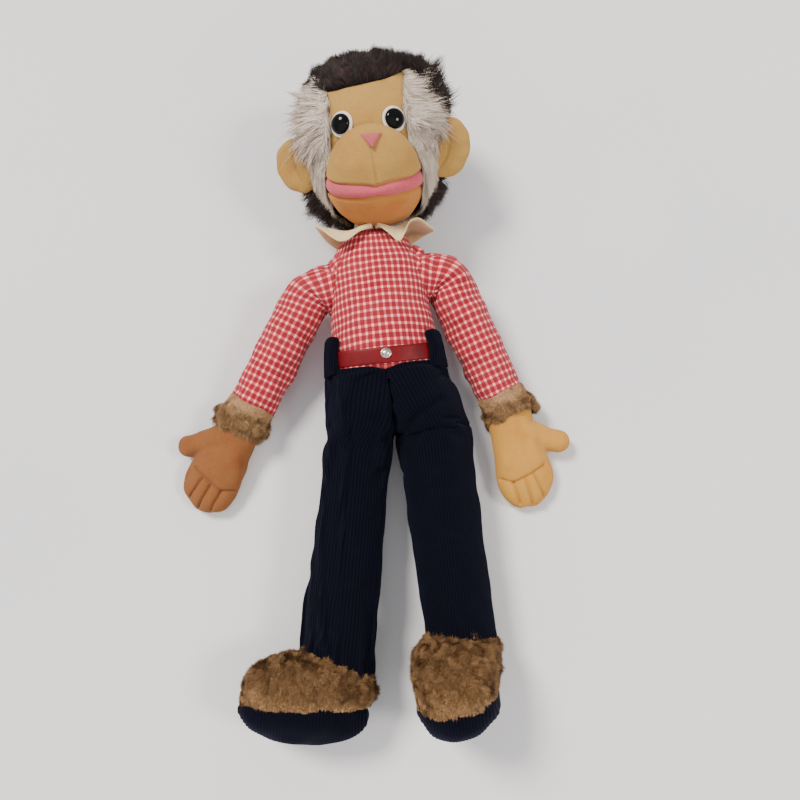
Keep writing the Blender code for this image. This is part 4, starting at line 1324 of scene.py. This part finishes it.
def head_reach(d):
    """The head's radius in each direction: an oval ball with a puffed muzzle."""
    depth = np.where(d[..., 2] > 0, SKULL[2], SKULL_BACK)
    reach = 1 / np.sqrt((d[..., 0] / SKULL[0]) ** 2 + (d[..., 1] / SKULL[1]) ** 2 + (d[..., 2] / depth) ** 2)
    behind = np.clip(1 - d[..., 2] / 0.55, 0, 1)
    corner = 4 * (d[..., 0] * d[..., 1]) ** 2
    top = np.clip(d[..., 1], 0, 1) ** 4
    reach = reach * (1 + (0.12 * corner + 0.06 * top) * behind)
    dome = np.clip(1 - muzzle_reach(d) ** 2, 0, 1) ** 0.6
    return reach + MUZZLE_HEIGHT * dome * np.clip(d[..., 2] * 3, 0, 1)


def forwards(x, y):
    """Unit directions from their first two parts, on the face's side."""
    return np.stack([x, y, np.sqrt(np.maximum(1 - x**2 - y**2, 0.0))], axis=-1)


def around(longitude, latitude):
    lon, lat = np.radians(longitude), np.radians(latitude)
    return np.stack([np.cos(lat) * np.sin(lon), np.sin(lat), np.cos(lat) * np.cos(lon)], axis=-1)


def lip_top(across):
    return MUZZLE_AT[1] + LIP_CURVE * across**2 - 0.022 * bell(across - 0.03, 0.13)


def lip_bottom(across):
    return MUZZLE_AT[1] + LIP_DEPTH + 0.02 * across**2 + 0.012 * bell(across - 0.03, 0.12)


def tucked(distance, width=1.7, depth=2.4):
    """How far cloth dips towards a seam that far off."""
    return groove(distance, width, depth)


def face_grid(bottom, top, rows, columns):
    """Directions between two edges, each a function from a share -1 to 1 across to (x, y)."""
    across = np.linspace(-1, 1, columns)
    low, high = np.stack(bottom(across), axis=-1), np.stack(top(across), axis=-1)
    t = np.linspace(0, 1, rows)[:, None, None]
    flat = low * (1 - t) + high * t
    return forwards(flat[..., 0], flat[..., 1]), t[..., 0]


def arch(s):
    a = s * pi / 2
    return MUZZLE_AT[0] + MUZZLE_SPREAD[0] * np.sin(a), MUZZLE_AT[1] + MUZZLE_SPREAD[1] * np.cos(a) ** 0.92


def lip_line(s, curve):
    across = np.sin(s * pi / 2)
    return MUZZLE_AT[0] + MUZZLE_SPREAD[0] * across, curve(across)


def seam_distance(grid):
    """The distance from each point of a grid to its first row and to its last, in millimetres."""
    rows = np.linalg.norm(np.diff(grid, axis=0), axis=-1)
    down = np.concatenate([np.zeros((1, grid.shape[1])), np.cumsum(rows, axis=0)])
    return down, down[-1:] - down


def face_piece(name, d, push, material, nodes, seed, puff=0.35):
    """A sewn panel of the face along directions d, pushed out by push."""
    grid = d * (head_reach(d) + push)[..., None]
    grid = grid + unit(d) * (puff * lumps(grid, 20, 90 + seed))[..., None]
    mesh = grid_mesh(name, put("head", grid), wrap=False, centre=HEAD_MIDDLE)
    show(name, mesh, [material], "head", nodes)


def make_face():
    def hairline(s):
        return 0.66 * s, 0.82 - 0.08 * s**2 + 0.07 * s

    d, _ = face_grid(arch, hairline, 120, 200)
    low, _ = seam_distance(d * head_reach(d)[..., None])
    push = tucked(low, 2.2, 0.5)
    face_piece("brow", d, push, FACE_SKIN, ["forehead"], 1)

    def lip_upper(s):
        return lip_line(s, lip_top)

    def lip_lower(s):
        return lip_line(s, lip_bottom)

    d, _ = face_grid(lip_upper, arch, 130, 200)
    grid = d * head_reach(d)[..., None]
    low, high = seam_distance(grid)
    middle = np.abs(grid[..., 0] - 2.2 - 0.035 * (-grid[..., 1]))
    below_nose = rising(grid[..., 1], -1, -0.5)
    push = tucked(low, 1.7, 2.6) + tucked(high, 2.2, 0.5) + groove(middle, 1.0, 1.2) * below_nose
    push = push + groove(middle, 7, 0.7) * below_nose
    face_piece("snout", d, push, FACE_SKIN, ["muzzle"], 2)

    d, t = face_grid(lip_lower, lip_upper, 40, 200)
    bulge = 2.6 * np.sqrt(np.clip(1 - (2 * t - 1) ** 2, 0, 1))
    ends = np.sqrt(np.clip(1 - np.linspace(-1, 1, 200) ** 8, 0.02, 1))[None, :]
    push = (bulge - 2.6) * ends - 1.6 * (1 - ends) + 0.9 * ends * np.sin(np.pi * t)
    face_piece("mouth", d, push, LIP_FELT, ["lips"], 3, 0.2)

    def chin_low(s):
        a = s * pi / 2
        return MUZZLE_AT[0] + 0.56 * np.sin(a), MUZZLE_AT[1] - 0.10 - 0.405 * np.cos(a)

    d, _ = face_grid(chin_low, lip_lower, 90, 200)
    grid = d * head_reach(d)[..., None]
    low, high = seam_distance(grid)
    push = tucked(high) + tucked(low, 3.0, 3.0)
    face_piece("jaw", d, push, CHIN_SKIN, ["chin"], 4)

    x, y = np.meshgrid(np.linspace(-0.72, 0.72, 60), np.linspace(-0.86, 0.74, 60))
    inside = 1 / np.maximum(1, np.hypot(x, y) / 0.96)
    d = forwards(x * inside, y * inside)
    mesh = grid_mesh("face_lining", put("head", d * (head_reach(d) - 2.4)[..., None]), wrap=False,
                     centre=HEAD_MIDDLE)
    show("face_lining", mesh, [CHIN_SKIN], "head", ["head_stuffing"])


def inner_edge(latitude, sign):
    """The longitude where the white fur starts beside the face."""
    y = np.sin(np.radians(latitude))
    edge = np.interp(y, (-0.9, -0.7, -0.35, 0.0, 0.4, 0.72), (0.60, 0.64, 0.665, 0.60, 0.565, 0.53))
    if sign > 0:
        edge = edge - 0.02 - 0.05 * np.clip((-0.4 - y) / 0.3, 0, 1)
    share = np.clip(edge / np.maximum(np.cos(np.radians(latitude)), 0.05), 0, 0.999)
    return np.degrees(np.arcsin(share))


FUR_EDGES = {  # the longitude where the white fur ends and the brown begins, at latitudes up the head
    "left": ((-64, 68), (-30, 78), (0, 82), (25, 70), (44, 62), (58, 64)),
    "right": ((-64, 66), (-30, 78), (0, 82), (25, 76), (58, 60)),
}
HAIRLINE_TILT = 0.1


def hairline_at(longitude):
    """The latitude where the crown's fur starts, higher on the doll's left."""
    near = np.clip(longitude, -60, 60)
    return 50.5 + HAIRLINE_TILT * near


def fur_edge(side, latitudes):
    table = np.array(FUR_EDGES[side])
    return np.interp(latitudes, table[:, 0], table[:, 1])


def hide(name, longitudes, latitudes, lift, material, nodes):
    """A fur panel's backing over a grid of directions. Returns its points in the row frame."""
    d = around(longitudes, latitudes)
    world = on_floor(put("head", d * (head_reach(d) + lift)[..., None]), 0.3)
    mesh = grid_mesh(name, world, wrap=False, centre=HEAD_MIDDLE)
    show(name, mesh, [material], "head", nodes)
    return world


SIDE_HAIRS, BACK_HAIRS, CROWN_HAIRS = 22000, 36000, 26000
SIDE_RISE = {  # heights on the head, and how far up the white hair is combed there for each step outwards
    "left": ((-50, -25, 0, 10, 18, 30, 45), (-2.6, -2.6, -1.8, -0.8, 0.0, 0.1, 0.4)),
    "right": ((-50, -25, 0, 12, 30, 45), (-2.6, -2.6, -1.6, -0.2, 0.5, 0.8)),
}
SIDE_LENGTH = {  # heights on the head, and the white hair's length there
    "left": ((-55, -30, -5, 8, 18, 26, 36, 45, 55), (12, 9, 7, 11, 26, 17, 13, 24, 20)),
    "right": ((-55, -30, -5, 8, 20, 40, 55), (12, 9, 8, 17, 22, 19, 13)),
}
WISPS = {"left": (0.0, 0.0), "right": (0.35, 0.3)}  # how much lower the wisps hang, and how much longer


def make_side_fur(side, rng):
    """White hair beside the face: short by the ear, long at the temple, swept up and outwards."""
    sign = SIDES[side]
    latitudes = np.linspace(-62, 57, 70)[:, None]
    share = np.linspace(0, 1, 40)[None, :]
    outer = fur_edge(side, latitudes)
    inner = np.minimum(inner_edge(latitudes, sign), outer - 4)
    longitudes = sign * (inner * (1 - share) + (outer + 3) * share)
    latitudes = np.broadcast_to(latitudes, longitudes.shape)
    node = ["side_fur_" + side]
    world = hide("side_hide_" + side, longitudes, latitudes, 0.6, WHITE_HIDE, node)
    count = SIDE_HAIRS
    roots, normals, share = scatter(world, count, rng, False, HEAD_MIDDLE)
    up = local("head", roots)[:, 1]
    wisp = (rng.random(count) < 0.09) & (up > -4)
    rise, length = np.interp(up, *SIDE_RISE[side]), np.interp(up, *SIDE_LENGTH[side])
    edge = share[:, 1] < 0.1
    rise = np.where(edge, rise - 1.5, rise)
    droop = bell(up - 14, 14) * wisp
    lower, longer = WISPS[side]
    rise = rise - lower * droop
    outwards = np.where(edge, np.where(up < -22, -1.2, -0.45), 1.0) * sign
    comb = np.stack([outwards, rise, np.full(count, -0.2)], axis=-1)
    comb = turned("head", comb + 0.3 * swirls(roots, 18, 34 if sign > 0 else 31))
    length = length * (0.5 + 0.5 * np.clip(share[:, 1] * 4, 0, 1)) * rng.uniform(0.65, 1.15, count)
    length = np.where(wisp, length * rng.uniform(1.3, 2.0, count) * (1 + longer * droop), length)
    paths = grow(roots, normals, comb, length, rng, 5, 0.26, 0.12, count // 40, 0.5)
    width = rng.uniform(0.22, 0.46, count)
    tones = nearest_tone(2.1 + 0.6 * lumps(roots, 12, 50) + rng.normal(size=count) * 0.45, 3)
    streak = (lumps(roots, 8, 53) > 0.9) & (up > 0) & (share[:, 1] > 0.45)
    tones = np.where((streak & (rng.random(count) < 0.6)) | (wisp & (rng.random(count) < 0.4)), 4, tones)
    mesh = ribbon_mesh("side_hair_" + side, paths, normals, width, tones)
    show("side_hair_" + side, mesh, WHITE_HAIR, "head")


def make_brown_fur(rng):
    """Dark fur over the crown and the back of the head, and down behind the ears."""
    share = np.linspace(0, 1, 110)[None, :]
    low, high = -64.0, 46.0
    latitudes = np.broadcast_to(np.linspace(low, high, 70)[:, None], (70, 110))
    longitudes = fur_edge("left", latitudes) * (1 - share) + (360 - fur_edge("right", latitudes)) * share
    back = hide("back_hide", longitudes, latitudes, 0.4, BROWN_HIDE, ["back_fur"])
    longitudes = np.broadcast_to(-180 + 360 * share, (50, 110))
    edge = np.where(np.abs(longitudes) < 66, hairline_at(longitudes), high - 2)
    climb = np.linspace(0, 1, 50)[:, None]
    latitudes = edge * (1 - climb) + 89.6 * climb
    crown = hide("crown_hide", longitudes, latitudes, 0.4, BROWN_HIDE, ["crown_fur"])
    for name, world, count in (("back", back, BACK_HAIRS), ("crown", crown, CROWN_HAIRS)):
        roots, normals, _ = scatter(world, count, rng, False, HEAD_MIDDLE)
        x, y, z = local("head", roots).T
        comb = np.stack([x / 45, y / 50, np.full(count, -0.35)], axis=-1)
        comb = turned("head", comb + 0.5 * swirls(roots, 15, 41))
        length = np.interp(y, (-60, -35, -5, 20, 40, 60), (20, 19, 13, 15, 15, 14))
        length = length + 13 * bell(y - 28, 20) * np.clip(x / 40, 0, 1)
        by_ear = np.clip((np.abs(x) - 40) / 12, 0, 1) * bell(y + 12, 16)
        temple = np.clip((-x - 32) / 16, 0, 1) * bell(y - 26, 20)
        length = length * (1 - 0.72 * by_ear) * (1 - 0.6 * temple)
        length = length + 6 * np.clip(-y / 30, 0, 1) * np.clip(-x / 30, 0, 1)
        length = length * rng.uniform(0.6, 1.15, count) * (1 + 0.18 * lumps(roots, 12, 44))
        if name == "crown":
            length = length * (1 - 0.35 * bell(z - 25, 12) * (np.abs(x) < 34))
        paths = grow(roots, normals, comb, length, rng, 3, 0.6, 0.2, count // 34, 0.6)
        width = rng.uniform(0.32, 0.62, count)
        tones = nearest_tone(2 + 0.9 * lumps(roots, 9, 47) + rng.normal(size=count) * 0.8, 4)
        mesh = ribbon_mesh(name + "_hair", paths, normals, width, tones)
        show(name + "_hair", mesh, BROWN_HAIR, "head")


PATCH_PROFILE = (  # radius, height off the head
    (0.2, 1.7),
    (3, 1.7),
    (6, 1.6),
    (7.9, 1.4),
    (8.8, 1.0),
    (9.1, 0.4),
    (8.9, -0.4),
    (8.3, -1.0),
)
PUPIL_RADIUS, PUPIL_BASE, PUPIL_RISE = 7.3, 2.6, 3.6


def make_eyes():
    """A black domed button on a disc of white felt, each square to the head."""
    for side, sign in SIDES.items():
        low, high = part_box("eye_" + side)
        spot = local("head", (np.array(low) + np.array(high)) / 2 / MM)
        d = unit(spot)
        skin = d * head_reach(d)
        normal = unit(np.array((spot[0] / SKULL[0] ** 2, spot[1] / SKULL[1] ** 2, spot[2] / SKULL[2] ** 2)))
        x_axis = unit(np.cross((0, 1, 0), normal))
        turn = np.stack([x_axis, np.cross(normal, x_axis), normal], axis=-1)
        centre = skin + normal * (-0.2)
        patch = dome_grid(PATCH_PROFILE, squash=1.08)
        patch[..., 0] *= 1 + 0.0125 * np.sin(5 * np.arctan2(patch[..., 1], patch[..., 0]) + sign)
        mesh = grid_mesh("patch", put("head", patch @ turn.T + centre), centre=HEAD_MIDDLE)
        felt = show("eye_disc_" + side, mesh, [PATCH_FELT], "head", ["eye_patch_" + side])
        angles = np.radians(range(8, 91, 6))
        dome = zip(PUPIL_RADIUS * np.sin(angles), PUPIL_BASE + PUPIL_RISE * np.cos(angles))
        rings = [(0.01, PUPIL_BASE + PUPIL_RISE), *dome, (7.5, 2.3), (7.3, 1.9), (6.0, 1.7)]
        pupil = dome_grid(rings, squash=1.02) @ turn.T + centre
        mesh = grid_mesh("pupil", put("head", pupil), centre=HEAD_MIDDLE)
        show("eye_button_" + side, mesh, [GLOSS], "head", ["eye_" + side])
        repaint("eye_washer_" + side, WASHER)


NOSE_CORNERS = ((-5.4, 4.6), (10.0, 4.4), (2.4, -6.4))
NOSE_PROFILE = (  # share of the outline, height off the muzzle
    (0.01, 3.4),
    (0.4, 3.3),
    (0.75, 2.9),
    (0.93, 2.3),
    (1.0, 1.5),
    (1.0, 0.2),
    (0.95, -1.5),
)


def make_nose():
    """A felt triangle with round corners, point down, where the muzzle's seams meet."""
    corners = np.array(NOSE_CORNERS)
    middle = corners.mean(axis=0)
    columns = 96
    t = np.arange(columns) / columns * 3
    i = np.floor(t).astype(int)
    f = (t - i)[:, None]
    outline = corners[i % 3] * (1 - f) + corners[(i + 1) % 3] * f
    outline = cubic(outline, columns, True)
    for _ in range(3):
        outline = (np.roll(outline, 1, axis=0) + outline + np.roll(outline, -1, axis=0)) / 3
    rows = []
    for share, lift in NOSE_PROFILE:
        flat = middle + (outline - middle) * share
        z = np.full(columns, 55.0)
        for _ in range(12):
            d = unit(np.stack([flat[:, 0], flat[:, 1], z], axis=-1))
            z = np.sqrt(np.maximum(head_reach(d) ** 2 - flat[:, 0] ** 2 - flat[:, 1] ** 2, 1))
        d = unit(np.stack([flat[:, 0], flat[:, 1], z], axis=-1))
        rows.append(d * (head_reach(d) + lift - 0.6)[..., None])
    mesh = grid_mesh("felt_nose", put("head", np.array(rows)), centre=HEAD_MIDDLE)
    show("felt_nose", mesh, [NOSE_FELT], "head", ["nose"])


EAR_AT = {"left": np.array((58.5, -8.5, 7.0)), "right": np.array((60.5, -11.5, 6.0))}
EAR_HALF = {"left": np.array((19.0, 23.5, 5.2)), "right": np.array((18.0, 21.5, 5.2))}
EAR_YAW, EAR_LEAN = 14.0, 15.0
NECK_RADII = ((-30, 15.0), (-10, 15.5), (4, 16.5), (14, 17.0))  # distance below the nod's hinge, radius


def make_ear(side):
    """A flat stuffed ear with a stitched line inside its edge."""
    sign = SIDES[side]
    rows, columns = 80, 160
    tilt = np.linspace(-89.5, 89.5, rows)[:, None]
    turn = np.linspace(0, 360, columns, endpoint=False)[None, :]
    x = np.cos(np.radians(tilt)) * np.cos(np.radians(turn))
    z = np.cos(np.radians(tilt)) * np.sin(np.radians(turn))
    y = np.sin(np.radians(tilt)) * np.ones_like(turn)
    round_edge = np.sqrt(np.clip(x**2 + y**2, 0, 1))
    thick = np.sign(z) * np.abs(z) ** 0.75
    dish = groove(round_edge, 0.55, 0.42)
    grid = np.stack([x, y, thick * (1 + dish)], axis=-1) * EAR_HALF[side]
    line = np.abs(np.hypot((grid[..., 0] + 15) / 22, grid[..., 1] / 30) - 0.72) * 20
    grid[..., 2] += np.where(z > 0, groove(line, 1.2, 1.3), 0)
    grid[..., 0] *= sign
    a = radians(sign * EAR_YAW)
    spin = np.array(((cos(a), 0, sin(a)), (0, 1, 0), (-sin(a), 0, cos(a))))
    b = -radians(sign * EAR_LEAN)
    lean = np.array(((cos(b), -sin(b), 0), (sin(b), cos(b), 0), (0, 0, 1)))
    grid = grid @ lean.T @ spin.T + EAR_AT[side] * (sign, 1, 1)
    world = put("head", grid)
    world = world + grid_normals(world) * 0.4 * lumps(world, 13, 77 + sign)[..., None]
    mesh = grid_mesh("velour_ear_" + side, world)
    show("velour_ear_" + side, mesh, [FACE_SKIN], "head", ["ear_" + side])


def make_neck():
    """A tube of felt that widens a little downwards."""
    sections = [(below, 0, radius, radius, 0) for below, radius in NECK_RADII]
    grid = limb_rings("neck", sections, 24, 48)
    mesh = grid_mesh("neck_tube", grid)
    nodes, blend = ["neck_skin", "neck_stuffing"], (("torso", "neck"), "neck", -12, 10)
    show("neck_tube", mesh, [COLLAR_FELT], replaces=nodes, blend=blend)


# ---------------------------------------------------------------- build


def cloth_pieces():
    """The shirt, the sleeves and the trousers, which are simulated together."""
    body = on_floor(shirt_grid(40, 64))
    cases = [(body, (0, 1, 38, 39), 3.0, 0.05)]
    sleeves, spans = {}, {}
    for side in SIDES:
        sleeves[side], spans[side] = sleeve_grid(side, 44, 40)
        on_floor(sleeves[side])
        cases.append((sleeves[side], (0, 1, 42, 43), 3.5, 0.07))
    halves = {}
    for side in SIDES:
        halves[side] = refine(trouser_grid(side), 56, 44)
        cases.append((halves[side], (0, 1, 2, 54, 55), 3.0, 0.05))
    settled = settle_cloth(cases)

    rows, columns = 110, 200
    grid = refine(wrinkled(body, settled[0], 2.2, 1.3), rows, columns)
    grid += grid_normals(grid) * (0.7 * lumps(grid, 30, 3))[..., None]
    height = np.linspace(138, 12, rows)
    cloth = cloth_uv(rows, columns, round(AROUND_WAIST / CHECK[0]), height / CHECK[1])
    mesh = grid_mesh("checked_shirt", on_floor(grid), cloth=cloth)
    nodes = ["shirt_body", "torso_stuffing"]
    show("checked_shirt", mesh, [GINGHAM], "torso", nodes)

    rows, columns = 130, 150
    for number, side in enumerate(SIDES):
        grid = refine(wrinkled(sleeves[side], settled[1 + number], 2.2, 1.0), rows, columns)
        grid += grid_normals(grid) * (0.7 * lumps(grid, 22, 13 + number))[..., None]
        length = np.linspace(0, spans[side][-1], rows)
        cloth = cloth_uv(rows, columns, round(AROUND_SLEEVE / CHECK[0]), length / CHECK[1])
        mesh = grid_mesh("checked_sleeve_" + side, on_floor(grid), cloth=cloth)
        nodes = ["sleeve_" + side, "arm_stuffing_" + side]
        blend = ("torso", "arm_" + side), "arm_" + side, 10, -28
        show("checked_sleeve_" + side, mesh, [GINGHAM], replaces=nodes, blend=blend)
        make_trousers(side, halves[side], settled[3 + number])


LAMPS = (  # name, place, angle, strength, colour
    ("key", (-0.75, 0.55, 1.25), 18.0, 4.3, (1.0, 0.96, 0.9)),
    ("fill", (1.0, -0.2, 1.1), 14.0, 1.75, (1.0, 0.95, 0.88)),
    ("front", (-0.1, -1.1, 1.0), 90.0, 0.9, (0.92, 0.95, 1.0)),
)


def make_stage():
    """A plain pale floor and soft studio light."""
    mesh = bpy.data.meshes.new("floor")
    far = 20.0
    mesh.from_pydata([(-far, -far, 0), (far, -far, 0), (far, far, 0), (-far, far, 0)], [], [(0, 1, 2, 3)])
    floor = bpy.data.objects.new("floor", mesh)
    bpy.context.scene.collection.objects.link(floor)
    look = Look("floor", 0.85, specular=0.2)
    look.colour(look.ramp(look.noise(400, 2), (0.35, srgb(216, 215, 216)), (0.65, srgb(222, 219, 218))))
    mesh.materials.append(look.material)
    world = bpy.data.worlds.new("studio")
    world.use_nodes = True
    world.node_tree.nodes["Background"].inputs[0].default_value = (0.95, 0.96, 1.0, 1)
    world.node_tree.nodes["Background"].inputs[1].default_value = 0.73
    bpy.context.scene.world = world
    middle = Vector((0.02, -0.01, 0.04))
    for name, spot, spread, strength, colour in LAMPS:
        lamp = bpy.data.lights.new(name, "SUN")
        lamp.angle, lamp.energy, lamp.color = radians(spread), strength, colour
        thing = bpy.data.objects.new(name, lamp)
        bpy.context.scene.collection.objects.link(thing)
        thing.location = spot
        thing.rotation_euler = (middle - Vector(spot)).to_track_quat("-Z", "Y").to_euler()


CAMERA_TARGET, CAMERA_DISTANCE, CAMERA_ELEVATION = (0.02237, -0.01345, 0.036), 0.616, 75.0


def make_camera():
    lens = bpy.data.cameras.new("camera")
    lens.lens, lens.sensor_width = 36.0, 36.0
    lens.clip_start = 0.01
    camera = bpy.data.objects.new("camera", lens)
    bpy.context.scene.collection.objects.link(camera)
    a = radians(CAMERA_ELEVATION)
    camera.location = Vector(CAMERA_TARGET) + CAMERA_DISTANCE * Vector((0, -cos(a), sin(a)))
    camera.rotation_euler = (pi / 2 - a, 0, 0)
    bpy.context.scene.camera = camera


def build():
    make_camera()
    cloth_pieces()
    make_belt()
    make_hem()
    for side in SIDES:
        make_tab(side)
        make_collar(side)
        make_hand(side)
        make_cuff(side, np.random.default_rng(100 + SIDES[side]))
        make_foot(side, np.random.default_rng(200 + SIDES[side]))
        make_side_fur(side, np.random.default_rng(300 + SIDES[side]))
        make_ear(side)
    make_neck()
    make_face()
    make_eyes()
    make_nose()
    make_brown_fur(np.random.default_rng(400))
    make_stage()


build()
